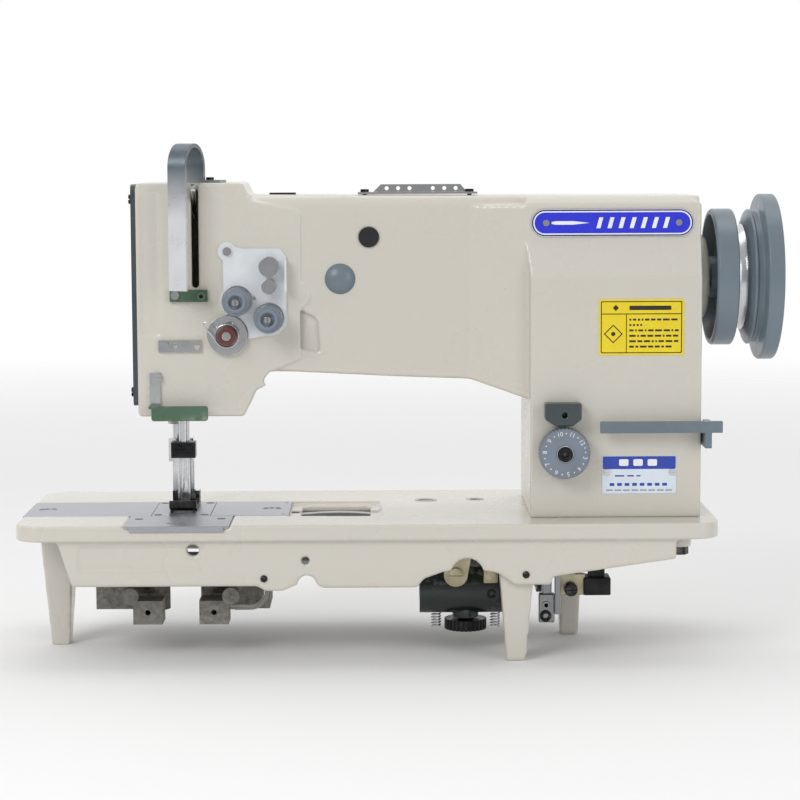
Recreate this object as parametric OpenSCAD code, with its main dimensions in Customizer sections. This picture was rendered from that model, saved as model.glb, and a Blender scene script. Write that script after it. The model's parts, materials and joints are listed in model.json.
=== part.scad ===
// Flat-bed twin-needle walking-foot lockstitch head for leather, in millimetres.
// X runs from the needle end to the handwheel, -Y faces the operator and +Z is up.
// The origin is the middle of the footprint, on the surface that the legs stand on.
// Inside place(), X counts from the bed's left end, Y from its centre line and Z from its top face.

/* [Bed] */
// Length of the bed
bed_l = 518; // [432:1:622]
// Width of the bed, front to back
bed_w = 178; // [160:1:214]
// Height of the bed's top face above the surface it stands on
bed_h = 105; // [96:1:126]
// Thickness of the bed's rim, which rests in a table cut-out
bed_rim = 12; // [9:0.5:15]
// Thickness of the bed's top web inside the rim
bed_web = 6.5; // [5.5:0.5:8]
// Corner radius of the bed, seen from above
bed_corner = 18; // [8:1:30]
// How far the skirt reaches below the bed's top face
skirt_drop = 46; // [40:1:56]
// Thickness of the skirt wall
skirt_wall = 6; // [4:0.5:9]
// Step from the rim's edge in to the skirt
skirt_inset = 4; // [2:0.5:8]
// Distance from the bed's left end to the skirt
skirt_x0 = 31; // [26:1:36]
// Width of a leg's foot
leg_w = 14; // [10:0.5:18]

/* [Arm] */
// Height of the arm shaft above the bed
shaft_z = 176; // [150:1:212]
// Arm shaft and needle bar, from the bed's centre line (front is negative)
shaft_y = -6; // [-10:0.5:-2]
// Distance from the bed's left end to the head casting
head_x = 88; // [80:1:106]
// Length of the head casting along the arm
head_l = 82; // [78:1:96]
// Depth of the head casting, front to back
head_depth = 78; // [76:1:92]
// Height of the head's underside above the bed
head_bottom = 75; // [66:1:88]
// Rise of the head's top above the arm's top
head_step = 9; // [4:0.5:14]
// Distance from the arm shaft up to the arm's top
arm_rise = 64; // [58:1:74]
// Distance from the arm shaft down to the arm's underside at mid span
arm_drop = 72; // [60:1:86]
// Depth of the arm, front to back
arm_depth = 70; // [66:1:84]
// Wall of the arm casting
arm_wall = 6; // [4.5:0.5:8]
// Length of the column along the bed
column_l = 127; // [106:1:152]
// Depth of the column at its base, front to back
column_depth = 118; // [108:1:140]
// Height where the column's front starts to slope back
column_slope_z = 179; // [160:1:190]
// How far the column's upper front stands back from its lower front
column_setback = 8; // [4:0.5:12]

/* [Drive] */
// Diameter of the arm shaft
shaft_d = 15; // [12:0.5:18]
// Diameter of the hook drive shaft
hook_shaft_d = 14; // [11:0.5:16]
// Hook drive shaft behind the needle line, which is the gears' centre distance
gear_centres = 32; // [30:0.5:38]
// Depth of the hook drive shaft below the bed top
drive_z = 46; // [43:0.5:50]
// Teeth on each timing sprocket
sprocket_teeth = 24; // [18:1:30]
// Pitch radius of each timing sprocket
sprocket_r = 23; // [18:0.5:26]
// Width of the timing belt
belt_w = 9; // [7:0.5:12]
// Outer radius of the handwheel's rim
wheel_r = 62.5; // [57:0.5:75]
// Width of the handwheel's flange and rim
wheel_rim_w = 25.5; // [24:0.5:30]
// Outer radius of the handwheel's inner ring
ring_r = 51.5; // [46:0.5:56]
// Width of the handwheel's inner ring
ring_w = 16.5; // [13:0.5:20]
// Gap between the column and the handwheel
wheel_gap = 11.5; // [10.5:0.5:14]
// Width of the belt groove between the ring and the rim
groove_w = 7.5; // [6:0.5:9]

/* [Needles and feet] */
// Needles and bars, from the bed's left end
needle_x = 118.5; // [116:0.5:122]
// Spacing of the two needles
needle_gauge = 8; // [6.4:0.1:9.6]
// Diameter of a needle's blade
needle_d = 1.6; // [1.2:0.1:2]
// Diameter of the needle bar
needle_bar_d = 7.2; // [6:0.1:8.6]
// Stroke of the needle bar
needle_stroke = 34; // [28:1:36]
// Height of the needle points above the bed at top dead centre
needle_tip_z = 7; // [6:0.5:9]
// Diameter of the presser bar
presser_bar_d = 8; // [7:0.1:9]
// Spacing, front to back, of the needle bar, inner foot bar and presser bar
bar_pitch = 12.5; // [12:0.5:13.5]

/* [Hooks] */
// Radius of a rotary hook
hook_r = 16.5; // [14:0.5:18]
// Height of a rotary hook's basket
hook_h = 13; // [10:0.5:15]
// Diameter of a hook's vertical shaft
hook_post_d = 10; // [8:0.5:12]
// Radius of a bobbin
bobbin_r = 11; // [9:0.5:12.5]

/* [Plates] */
// Thickness of the slide plates and needle plate
plate_t = 2.5; // [2:0.1:3]
// Front edge of the slide plate track, from the centre line
track_y0 = -40; // [-42:0.5:-36]
// Width of the slide plate track, front to back
track_w = 68.5; // [64:0.5:72]
// Length of the needle plate
needle_plate_l = 44; // [38:0.5:48]
// Length of the right slide plate
right_plate_l = 59; // [50:0.5:66]
// Length of the open pocket that the right slide plate slides into
pocket_l = 70; // [62:0.5:80]
// Length of the front cover plate
cover_l = 77; // [64:0.5:90]

/* [Thread path] */
// Radius of a tension knob
knob_r = 10.5; // [8.5:0.5:12.5]
// Radius of a tension disc
disc_r = 11.5; // [9.5:0.5:13]
// Radius of the check spring's disc
check_r = 15; // [13:0.5:17]
// Length of the take-up slot
slot_l = 78; // [70:1:84]
// Width of the take-up slot
slot_w = 5; // [4.4:0.1:6]
// Width of the take-up guard's strap
guard_w = 14; // [11:0.5:17]

/* [Controls] */
// Radius of the stitch length dial
dial_r = 19; // [15:0.5:23]
// Thickness of the stitch length dial
dial_t = 12; // [9:0.5:15]
// Length of the reverse lever's bar
lever_l = 90; // [75:1:108]

/* [Clearances] */
// Radial clearance of a running shaft
run_fit = 0.05; // [0.02:0.01:0.1]
// Radial clearance of a screw in its hole
screw_fit = 0.1; // [0.05:0.01:0.3]
// Gap around a sliding plate
slide_gap = 0.4; // [0.2:0.05:0.8]
// Gap between moving pieces that don't touch
free_gap = 0.5; // [0.3:0.05:1]

/* [Hidden] */
$fn = 64;
eps = 0.01;
through = 400;

// Overall lengths and the frame's place
column_x1 = bed_l - 11;
column_x0 = column_x1 - column_l;
wheel_x0 = column_x1 + wheel_gap;
wheel_x1 = wheel_x0 + ring_w + groove_w + wheel_rim_w;
bed_x = -wheel_x1 / 2;
front = -bed_w / 2;
floor_z = -bed_h;

// Arm and head
arm_top = shaft_z + arm_rise;
arm_under = shaft_z - arm_drop;
head_top = arm_top + head_step;
head_y0 = shaft_y - 35;
head_y1 = head_y0 + head_depth;
arm_y0 = head_y0 + 2;
arm_y1 = arm_y0 + arm_depth;
column_y0 = -58;
column_y1 = column_y0 + column_depth;
slope_top = column_slope_z + 25;
upper_y0 = column_y0 + column_setback;
cavity_x1 = head_x + head_l - 12;

// Plates on the bed
track_y1 = track_y0 + track_w;
needle_plate_x0 = needle_x - needle_plate_l / 2;
needle_plate_x1 = needle_x + needle_plate_l / 2;
right_plate_x1 = needle_plate_x1 + right_plate_l;
pocket_x1 = right_plate_x1 + pocket_l;
cover_x0 = needle_x - cover_l / 2 + 1;
cover_x1 = cover_x0 + cover_l;
plate_recess = plate_t + 0.1;

// Needles, bars and hooks
needle_xs = [needle_x - needle_gauge / 2, needle_x + needle_gauge / 2];
foot_bar_y = shaft_y + bar_pitch;
presser_y = shaft_y + 2 * bar_pitch;
presser_x = needle_x - 6.5;
hook_off = hook_r + needle_d / 2 + free_gap;
hook_xs = [needle_xs[0] - hook_off, needle_xs[1] + hook_off];
hook_top = -plate_t - 2.5;
drive_y = shaft_y + gear_centres;
big_gear_r = gear_centres * 2 / 3 - 0.2;
small_gear_r = gear_centres / 3 - 0.2;
belt_x0 = column_x0 + arm_wall + 4;
belt_x1 = belt_x0 + belt_w;
frame_pivot_y = shaft_y + 10;
frame_pivot_z = shaft_z + 50;
clamp_z = needle_tip_z + 33;
crank_x0 = head_x + 50;
crank_x1 = crank_x0 + 11;
crank_r = needle_stroke / 2;
take_up_x = head_x + 44;
take_up_pivot_y = shaft_y + 11;
take_up_pivot_z = shaft_z + 34;
slot_z0 = take_up_pivot_z - slot_l / 2;

// Thread path on the head's face
knob1 = [head_x + 75.2, shaft_z - 14.2];
knob2 = [head_x + 98.7, shaft_z - 27];
check = [head_x + 67.5, shaft_z - 40];
stud1 = [head_x + 99.1, shaft_z + 11];
stud2 = [head_x + 99.1, shaft_z - 3.6];
ear = [head_x + 67.9, shaft_z + 22.3];
tension_t = 2;
face_y = head_y0 - tension_t;

// Controls
dial_c = [column_x0 + 24.8, 49.6];
reverse_pivot = [-20, 60];
lever_x0 = column_x0 + 51;
lever_x1 = lever_x0 + lever_l;

// Under the bed
rock_y = drive_y + 34;
rock_z = -34;
reg_x0 = column_x0 - 82;
reg_x1 = reg_x0 + 60;
reg_y = -22;
reg_z = -59;
reg_r = 19;
reg_wheel_x = reg_x0 + 35;
leg_left = [22, 0];
leg_front = [column_x0 - 11, front + 22];
leg_rear = [column_x0 + 31.5, 27];

// Plugs in the bed's top: place and radius. Hinge pins' bores at the bed's back
bed_plug_places = [[304, 34, 8], [343, 37, 6]];
hinge_xs = [92, column_x1 - 80];
hinge_d = 10;
spring_seat = plate_recess + 2.4;
dog_z = hook_top + 0.6;
inner_foot_z = 0.3;

// Bores, bushings and plugs of the arm casting
bushing_r = shaft_d / 2 + 3.5;
bearing_boss_l = 8;
bushing_spans = [[cavity_x1 - 2, cavity_x1 + 22], [cavity_x1 + 80, cavity_x1 + 92],
  [column_x1 - 22, column_x1 + bearing_boss_l]];
presser_screw_r = 6;
tapped_holes = [[59, 21], [66, 21], [68.4, 26.5]];
tapped_r = 1.75;
face_plugs = [[column_x0 - 119, shaft_z + 32.3, 6], [column_x0 - 140.5, shaft_z + 1.4, 8]];
top_plug = [column_x0 - 184, shaft_y];
post_places = [knob1, knob2, stud1, stud2];
post_tip = face_y - 26;
dial_post_r = 5;
reverse_r = 5;
lift_c = [presser_x, head_bottom + 50];
presser_spring_l = head_top - 16 - shaft_z - 3;
guide_x0 = column_x0 - 127;
guide_l = 89;

// Take-up guard: its front corner, its depth, how far it is turned, and its screw
guard_p = [head_x + 26, head_y0 - 17];
guard_run = 36;
guard_turn = 20;
guard_screw = [
  guard_p[0] + (guard_w + 2) * cos(guard_turn) + (guard_run + 4) * sin(guard_turn),
  guard_p[1] - (guard_w + 2) * sin(guard_turn) + (guard_run + 4) * cos(guard_turn)];

// Radii of the belt groove's ring
pulley_bore_r = ring_r - 17.5;
pulley_r = ring_r - 11.5;
groove_r = ring_r - 12.7;

// ---------- shared shapes ----------

// Moves a piece from bed coordinates into the part's frame
module place() { translate([bed_x, 0, bed_h]) children(); }

module box(x0, x1, y0, y1, z0, z1) { translate([x0, y0, z0]) cube([x1 - x0, y1 - y0, z1 - z0]); }

module xcyl(r, x0, x1, y, z) { translate([x0, y, z]) rotate([0, 90, 0]) cylinder(r = r, h = x1 - x0); }

module ycyl(r, y0, y1, x, z) { translate([x, y1, z]) rotate([90, 0, 0]) cylinder(r = r, h = y1 - y0); }

module zcyl(r, z0, z1, x, y) { translate([x, y, z0]) cylinder(r = r, h = z1 - z0); }

// Outline drawn in X and Z, given thickness along Y from y0 to y1
module xz(y0, y1) { translate([0, y1, 0]) rotate([90, 0, 0]) linear_extrude(y1 - y0) children(); }

// Outline drawn in Y and Z, given thickness along X from x0 to x1
module yz(x0, x1) {
  translate([x0, 0, 0]) rotate([90, 0, 90]) linear_extrude(x1 - x0) children();
}

// Rectangle with rounded corners from [x0, y0] to [x1, y1]
module round_rect(x0, x1, y0, y1, r) {
  translate([x0 + r, y0 + r]) offset(r = r) square([x1 - x0 - 2 * r, y1 - y0 - 2 * r]);
}

// Slotted cheese-head screw that faces the operator, with its head's seat at y
module face_screw(x, z, y, r, head, depth) {
  difference() {
    union() {
      ycyl(r, y - head, y, x, z);
      ycyl(r * 0.5, y - eps, y + depth, x, z);
    }
    box(x - r - 1, x + r + 1, y - head - 1, y - head * 0.55, z - 0.45, z + 0.45);
  }
}

// Slotted screw that points down, with its head's seat at z
module top_screw(x, y, z, r, head, depth) {
  difference() {
    union() {
      zcyl(r, z, z + head, x, y);
      zcyl(r * 0.5, z - depth, z + eps, x, y);
    }
    box(x - r - 1, x + r + 1, y - 0.45, y + 0.45, z + head * 0.45, z + head + 1);
  }
}

// Round-wire coil about Z whose radius goes from r0 to r1, with a straight tail at its end
module coil(r0, r1, wire_r, turns, len, tail = 0, steps = 14, sides = 6) {
  n = ceil(turns * steps) + (tail > 0 ? 1 : 0);
  m = ceil(turns * steps);
  pts = [for (i = [0:n]) for (k = [0:sides - 1])
    let (t = min(i / m, 1), a = 360 * turns * t, b = 360 * k / sides,
         r = r0 + (r1 - r0) * t + wire_r * cos(b), e = i > m ? tail : 0)
    [r * cos(a) - e * sin(a), r * sin(a) + e * cos(a), wire_r + (len - 2 * wire_r) * t + wire_r * sin(b)]];
  walls = [for (i = [0:n - 1]) for (k = [0:sides - 1])
    let (a = i * sides + k, b = i * sides + (k + 1) % sides)
    [a, a + sides, b + sides, b]];
  ends = [[for (k = [0:sides - 1]) k], [for (k = [sides - 1:-1:0]) n * sides + k]];
  polyhedron(points = pts, faces = concat(walls, ends), convexity = 10);
}

// Gear or sprocket about Z with straight teeth cut between its root and outer circles
module toothed(r_out, tooth_h, teeth, h) {
  // Each tooth's corners: its place round the wheel in pitches, and 0 at its root or 1 at its tip
  corners = [[-0.25, 0], [-0.2, 1], [0.2, 1], [0.25, 0]];
  linear_extrude(h) polygon([for (i = [0:teeth - 1]) for (c = corners)
    let (r = r_out - tooth_h * (1 - c[1]), a = 360 * (i + c[0]) / teeth)
    [r * cos(a), r * sin(a)]]);
}

// ---------- screw places, shared by the holes and the screws ----------

needle_plate_screws = [for (sx = [-1, 1]) for (y = [track_y0 + 5, track_y1 - 5])
  [needle_x + sx * (needle_plate_l / 2 - 4.5), y]];
cover_screws = [[cover_x0 + 8, front + 34], [cover_x1 - 8, front + 34]];
face_plate_screws = [[head_y0 + 9, head_bottom + 18], [head_y0 + 9, head_top - 12],
  [head_y1 - 9, head_bottom + 18], [head_y1 - 9, head_top - 12]];
rear_cover_box = [column_x0 + 12, column_x1 - 12, 20, column_slope_z - 4];
rear_cover_screws = [for (x = [rear_cover_box[0] + 6, rear_cover_box[1] - 6])
  for (z = [rear_cover_box[2] + 6, rear_cover_box[3] - 6]) [x, z]];
arm_cover_box = [cavity_x1 + 60, cavity_x1 + 150, shaft_z - 45, shaft_z + 45];
arm_cover_screws = [for (x = [arm_cover_box[0] + 6, arm_cover_box[1] - 6])
  for (z = [arm_cover_box[2] + 6, arm_cover_box[3] - 6]) [x, z]];
name_pins = [[column_x0 + 12, arm_top - 21.5], [column_x1 - 17, arm_top - 21.5]];
data_pins = [[column_x0 + 57, 34], [column_x0 + 105.5, 34]];
head_screws = [[ear[0], ear[1], face_y], [head_x + 29, shaft_z - 10, head_y0 - 3],
  [head_x + 21, shaft_z - 48, head_y0 - 2], [head_x + 15, head_bottom + 30, head_y0 - 2]];
guide_screws = [[column_x0 - 122, -20], [column_x0 - 43.5, -20]];
column_bolts = [for (x = [column_x0 + 56, column_x1 - 14]) for (y = [column_y0 + 14, column_y1 - 14])
  [x, y]];
skirt_screws = [[183, -40], [column_x0 - 4.5, -38]];
saddle_bolts = [[58, shaft_y - 20], [58, shaft_y + 16],
  [hook_xs[1] + 38, shaft_y - 20], [hook_xs[1] + 38, shaft_y + 16]];

// ---------- bed ----------

// The skirt's lower edge, seen from the front
module skirt_outline() {
  low = -skirt_drop;
  ax = column_x0 - 47.5;
  difference() {
    polygon([[skirt_x0, -bed_rim + 1], [skirt_x0 + 4, low + 22], [skirt_x0 + 11, low],
      [178, low], [184, low - 3.5], [197, low - 3.5], [207, low + 1], [222, low + 1], [226, low - 1.5],
      [ax - 37, low - 1.5], [ax - 32, low + 5], [ax - 18, low + 10], [ax - 12, low + 11],
      [ax + 12, low + 11], [ax + 22, low + 9], [ax + 30, low + 4], [ax + 34, low],
      [column_x0 + 14, low], [column_x0 + 15, low + 6], [column_x1 - 21, low + 19],
      [column_x1 - 21, -bed_rim + 1]]);
    translate([ax, low + 8]) circle(r = 12);
    translate([214.5, low + 1]) circle(r = 7);
  }
}

module skirt() {
  x1 = column_x1 - 21;
  y = bed_w / 2 - skirt_inset;
  difference() {
    xz(-y, y) skirt_outline();
    box(skirt_x0 + skirt_wall + 11, x1 - skirt_wall, -y + skirt_wall, y - skirt_wall, -through, 0);
  }
}

module leg(x, y, top_l, top_w, top_z) {
  hull() {
    translate([x - top_l / 2, y - top_w / 2, -top_z]) cube([top_l, top_w, 2]);
    translate([x - leg_w / 2, y - leg_w / 2, floor_z]) cube([leg_w, leg_w, 2]);
  }
}

// Cross ribs and bosses under the web
module bed_ribs() {
  y = bed_w / 2 - skirt_inset - 1;
  for (x = [200, column_x0 - 100, column_x0 - 2])
    difference() {
      box(x, x + skirt_wall, -y, y, -30, -bed_web + 1);
      box(x - 1, x + skirt_wall + 1, -52, rock_y + 12, -through, -19);
    }
  box(41, column_x1 - 22, -y, -y + 9, -26, -bed_web);
  for (p = column_bolts) zcyl(9, -24, -bed_web, p[0], p[1]);
  for (x = [92, column_x1 - 80]) ycyl(9, y - 28, y, x, -22);
}

module bed_casting() {
  yo = bed_w / 2;
  color([0.80, 0.79, 0.75]) place() difference() {
    union() {
      difference() {
        translate([0, 0, -bed_rim]) linear_extrude(bed_rim) round_rect(0, bed_l, -yo, yo, bed_corner);
        box(14, bed_l - 14, -yo + 12, yo - 12, -through, -bed_web);
      }
      skirt();
      bed_ribs();
      leg(leg_left[0], leg_left[1], 26, 44, bed_rim);
      leg(leg_front[0], leg_front[1], 26, 26, skirt_drop - 12);
      box(leg_front[0] - 13, leg_front[0] + 13, -yo + skirt_inset, leg_front[1] + 13, -36, -bed_web);
      leg(leg_rear[0] + 4, leg_rear[1], 20, 30, 30);
      box(leg_rear[0] - 6, leg_rear[0] + 14, leg_rear[1] - 15, yo - skirt_inset - 1, -34, -bed_web);
      zcyl(7, -62, -bed_web, column_x0 - 90, 4);
    }
    // Track for the slide plates and the needle plate, and the pocket beside it
    box(-1, right_plate_x1 + 1, track_y0 - slide_gap, track_y1 + slide_gap, -plate_recess, 1);
    translate([0, 0, -plate_recess]) linear_extrude(through) polygon([
      [right_plate_x1, track_y0 - 3], [pocket_x1 + 1, track_y0 - 4],
      [pocket_x1 - 2, track_y1 + slide_gap], [right_plate_x1, track_y1 + slide_gap]]);
    box(right_plate_x1 + 9, pocket_x1 - 9, track_y0 + 9, track_y1 - 9, -through, 0);
    box(right_plate_x1, pocket_x1, shaft_y - 6, shaft_y + 6, -spring_seat, 0);
    // Openings over the two hooks, and for the feet, needles and feed dog
    box(hook_xs[0] - hook_r - 4, hook_xs[1] + hook_r + 4, track_y0 + 8, track_y1 - 8, -through, 0);
    // Seat of the front cover plate, open to the bed's front edge
    box(cover_x0 - slide_gap, cover_x1 + slide_gap, -yo - 1, track_y0 - slide_gap + eps, -plate_recess, 1);
    // Opening for the timing belt
    box(belt_x0 - 5, belt_x1 + 5, drive_y - 36, drive_y + 28, -through, 1);
    for (p = needle_plate_screws) zcyl(1.75 + screw_fit, -through, 1, p[0], p[1]);
    for (p = cover_screws) zcyl(1.75 + screw_fit, -through, 1, p[0], p[1]);
    for (p = column_bolts) zcyl(4 + screw_fit, -through, 1, p[0], p[1]);
    for (p = saddle_bolts) zcyl(3 + screw_fit, -through, 1, p[0], p[1]);
    zcyl(1.5 + screw_fit, -through, 1, right_plate_x1 + 4, shaft_y);
    for (p = bed_plug_places) zcyl(p[2] + screw_fit, -through, 1, p[0], p[1]);
    // Round holes and screws in the front skirt
    for (p = [[131, -19, 4.6], [213.5, -27, 3.2]]) ycyl(p[2], -yo - 1, -yo + 30, p[0], p[1]);
    for (p = skirt_screws) ycyl(1.3 + screw_fit, -yo - 1, -yo + 30, p[0], p[1]);
    // Recessed panel in the front skirt
    xz(-yo, -yo + skirt_inset + 1.2) round_rect(46, 141, -34, -15.5, 3);
    // Bores for the two hinge pins at the back
    for (x = hinge_xs) ycyl(hinge_d / 2, yo - skirt_inset - 26, yo + 1, x, -22);
  }
}

// ---------- arm and column ----------

module arm_outline() {
  polygon([[head_x + 60, arm_top], [column_x1, arm_top - 2], [column_x1, shaft_z - 60],
    [column_x0 + 12, shaft_z - 60], [column_x0 - 2, arm_under - 14], [column_x0 - 22, arm_under - 7],
    [column_x0 - 42, arm_under - 2], [column_x0 - 96, arm_under], [head_x + 118, arm_under + 4],
    [head_x + 60, arm_under + 5]]);
}

module head_outline() {
  offset(r = 3) offset(delta = -3)
  polygon([[head_x, head_bottom], [head_x, head_top], [head_x + head_l - 2, head_top],
    [head_x + head_l + 3, arm_top - 4], [head_x + head_l + 40, arm_top - 12],
    [head_x + head_l + 40, arm_under + 14], [head_x + head_l + 16, arm_under + 4],
    [head_x + head_l + 6, arm_under - 10], [head_x + head_l - 3, head_bottom]]);
}

module arm_outer() {
  intersection() {
    xz(arm_y0, arm_y1) arm_outline();
    yz(head_x, column_x1) round_rect(arm_y0, arm_y1, -30, arm_top, 9);
  }
  xz(head_y0, head_y1) head_outline();
  // Column, with its upper front standing back
  box(column_x0, column_x1, column_y0, column_y1, 0, column_slope_z);
  hull() {
    box(column_x0, column_x1, column_y0, column_y1, column_slope_z - 1, column_slope_z);
    box(column_x0 - 3, column_x1, upper_y0, column_y1 - 6, slope_top, slope_top + 1);
  }
  hull() {
    box(column_x0 - 3, column_x1, upper_y0, column_y1 - 6, slope_top, arm_top - 8);
    box(column_x0 - 3, column_x1 - 6, upper_y0 + 6, column_y1 - 12, arm_top - 9, arm_top - 2);
  }
  // Flare where the arm runs into the column
  hull() {
    box(column_x0 - 44, column_x0 - 40, arm_y0, arm_y1, arm_under - 2, arm_top - 9);
    box(column_x0 - 2, column_x0, upper_y0, column_y1 - 6, arm_under - 16, arm_top - 8);
  }
}

// Hollow inside of the casting
module arm_hollow() {
  w = arm_wall;
  // Head, open at its left end
  box(head_x - 1, cavity_x1, head_y0 + w, head_y1 - w, head_bottom + w, head_top - w);
  // Arm, between the head and the column
  box(cavity_x1 + w, column_x0 - 20, arm_y0 + w, arm_y1 - w, arm_under + w + 6, arm_top - w);
  box(column_x0 - 21, column_x0 + 20, arm_y0 + w, arm_y1 - w, arm_under + 12, arm_top - w - 2);
  // Column, open at its foot
  box(column_x0 + w, column_x1 - w, column_y0 + w, column_y1 - w, -1, column_slope_z - 4);
  box(column_x0 + w, column_x1 - w, upper_y0 + w, column_y1 - 6 - w, column_slope_z - 5, arm_top - 14);
}

// Bearing webs that cross the hollow
module arm_webs() {
  box(cavity_x1 + 80, cavity_x1 + 92, arm_y0 + 2, arm_y1 - 2, arm_under + 8, arm_top - 2);
  xcyl(15, cavity_x1 - 2, cavity_x1 + 22, shaft_y, shaft_z);
  xcyl(15, column_x1 - 22, column_x1, shaft_y, shaft_z);
  // Round boss of the shaft's right bearing, towards the handwheel
  xcyl(32, column_x1 - 4, column_x1 + bearing_boss_l - 1.5, shaft_y, shaft_z);
  xcyl(30.5, column_x1 - 4, column_x1 + bearing_boss_l, shaft_y, shaft_z);
  // Guide boss of the presser bar at the head's foot
  zcyl(8, head_bottom - 12, head_bottom + 11, presser_x, presser_y);
  box(presser_x - 8, presser_x + 8, presser_y, head_y1 - 2, head_bottom, head_bottom + 22);
  // Upper guide of the presser bar
  box(presser_x - 8, presser_x + 8, presser_y - 7, head_y1 - 2, head_top - 16, head_top - 4);
  // Pivot post of the needle bar frame
  xcyl(6, needle_x + 8, cavity_x1 + 4, frame_pivot_y, frame_pivot_z);
  // Feet that the bolts from the bed are screwed into
  for (p = column_bolts) zcyl(10, 0, 14, p[0], p[1]);
  // Pivot post of the take-up lever
  xcyl(5.5, take_up_x + 7, cavity_x1 + 4, take_up_pivot_y, take_up_pivot_z);
}

// Cast bosses, panels and lines on the front of the head and arm
module face_marks_raised() {
  xz(arm_y0 - 2, arm_y0 + 2) translate([head_x + 120, shaft_z - 11]) circle(r = 9);
  xz(arm_y0 - 2, arm_y0 + 2) translate([head_x + 90, shaft_z - 48]) circle(r = 8);
  xz(arm_y0 - 1.6, arm_y0 + 2) polygon([[head_x + 78, arm_under + 8], [head_x + 83, arm_under + 12],
    [head_x + 96, arm_under - 6], [head_x + 90, arm_under - 9]]);
}

module face_marks_cut() {
  xz(head_y0 - 1, head_y0 + 1.2) round_rect(head_x + 2.5, head_x + 18.5, shaft_z - 41, head_top - 8, 3);
  xz(head_y0 - 1, head_y0 + 0.9) polygon([[head_x + 52, head_top + 1], [head_x + 54, head_top + 1],
    [head_x + 60.5, shaft_z + 24], [head_x + 58.5, shaft_z + 24]]);
  box(head_x - 1, head_x + 51, head_y0 - 1, head_y0 + 0.9, shaft_z - 44.2, shaft_z - 43);
  xz(arm_y0 - 1, arm_y0 + 3.5) offset(r = 2) offset(delta = -2) polygon([
    [head_x + 112.5, shaft_z - 16], [head_x + 135, shaft_z - 29], [head_x + 136, shaft_z - 54],
    [head_x + 110, shaft_z - 48]]);
}

module arm_casting() {
  color([0.81, 0.80, 0.76]) place() difference() {
    union() {
      difference() {
        union() {
          arm_outer();
          face_marks_raised();
        }
        arm_hollow();
        face_marks_cut();
      }
      arm_webs();
    }
    // Shaft bushings' seats
    for (b = bushing_spans) xcyl(bushing_r, b[0] - eps, b[1] + eps, shaft_y, shaft_z);
    xcyl(shaft_d / 2 + 1, cavity_x1 - 3, column_x1 + bearing_boss_l + 1, shaft_y, shaft_z);
    // Take-up slot
    box(take_up_x - slot_w / 2, take_up_x + slot_w / 2, head_y0 - 1, head_y0 + arm_wall + 1,
      slot_z0, slot_z0 + slot_l);
    // Opening under the head for the needle bar and the inner foot
    box(needle_x - 9, needle_x + 12, shaft_y - 13, foot_bar_y + 7.5, head_bottom - 14, head_bottom + 12);
    // Presser bar guides, the take-up pivot pin's and the frame pivot's bores
    zcyl(presser_bar_d / 2 + run_fit, head_bottom - 13, head_top - 3, presser_x, presser_y);
    zcyl(presser_screw_r + screw_fit, head_top - 7, head_top + 1, presser_x, presser_y);
    xcyl(3 + run_fit, take_up_x - 2, cavity_x1 - 2, take_up_pivot_y, take_up_pivot_z);
    xcyl(3 + run_fit, needle_x + 7, cavity_x1 - 4, frame_pivot_y, frame_pivot_z);
    // Covers' openings and their screw holes
    box(rear_cover_box[0] + 12, rear_cover_box[1] - 12, column_y1 - 16, column_y1 + 1,
      rear_cover_box[2] + 12, rear_cover_box[3] - 12);
    box(arm_cover_box[0] + 12, arm_cover_box[1] - 12, arm_y1 - 8, arm_y1 + 1,
      arm_cover_box[2] + 12, arm_cover_box[3] - 12);
    for (p = rear_cover_screws) ycyl(1.75 + screw_fit, column_y1 - 16, column_y1 + 1, p[0], p[1]);
    for (p = arm_cover_screws) ycyl(1.75 + screw_fit, arm_y1 - 12, arm_y1 + 1, p[0], p[1]);
    for (p = face_plate_screws) xcyl(1.75 + screw_fit, head_x - 1, head_x + 12, p[0], p[1]);
    for (p = head_screws) ycyl(1.6 + screw_fit, head_y0 - 1, head_y0 + arm_wall + 1, p[0], p[1]);
    for (p = name_pins) ycyl(1.2 + screw_fit, upper_y0 - 1, upper_y0 + 5, p[0], p[1]);
    for (p = data_pins) ycyl(1.2 + screw_fit, column_y0 - 1, column_y0 + 5, p[0], p[1]);
    for (p = guide_screws) zcyl(1.6 + screw_fit, arm_top - 8, arm_top + 1, p[0], p[1]);
    zcyl(1.6 + screw_fit, head_top - 7, head_top + 1, guard_screw[0], guard_screw[1]);
    // Three tapped holes for a guide or attachment
    for (p = tapped_holes) ycyl(tapped_r, head_y0 - 1, head_y0 + 12, head_x + p[0], head_bottom + p[1]);
    // Rubber plugs' and the cap's holes
    for (p = face_plugs) ycyl(p[2] + screw_fit, arm_y0 - 1, arm_y0 + 8, p[0], p[1]);
    box(top_plug[0] - 10, top_plug[0] + 10, top_plug[1] - 6, top_plug[1] + 6, arm_top - 8, arm_top + 1);
    // Tension posts' holes
    for (p = post_places) ycyl(2.5 + screw_fit, head_y0 - 1, head_y0 + arm_wall + 1, p[0], p[1]);
    ycyl(3 + screw_fit, head_y0 - 1, head_y0 + arm_wall + 1, check[0], check[1]);
    // Dial shaft's and reverse shaft's bores
    ycyl(dial_post_r + run_fit, column_y0 - 1, column_y0 + arm_wall + 1, dial_c[0], dial_c[1]);
    xcyl(reverse_r + run_fit, column_x1 - arm_wall - 1, column_x1 + 1, reverse_pivot[0], reverse_pivot[1]);
    // Lifting lever's bore
    ycyl(4 + run_fit, head_y1 - arm_wall - 1, head_y1 + 1, lift_c[0], lift_c[1]);
    // Bolts that hold the column on the bed
    for (p = column_bolts) zcyl(4 + screw_fit, -1, 12, p[0], p[1]);
  }
}

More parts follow.
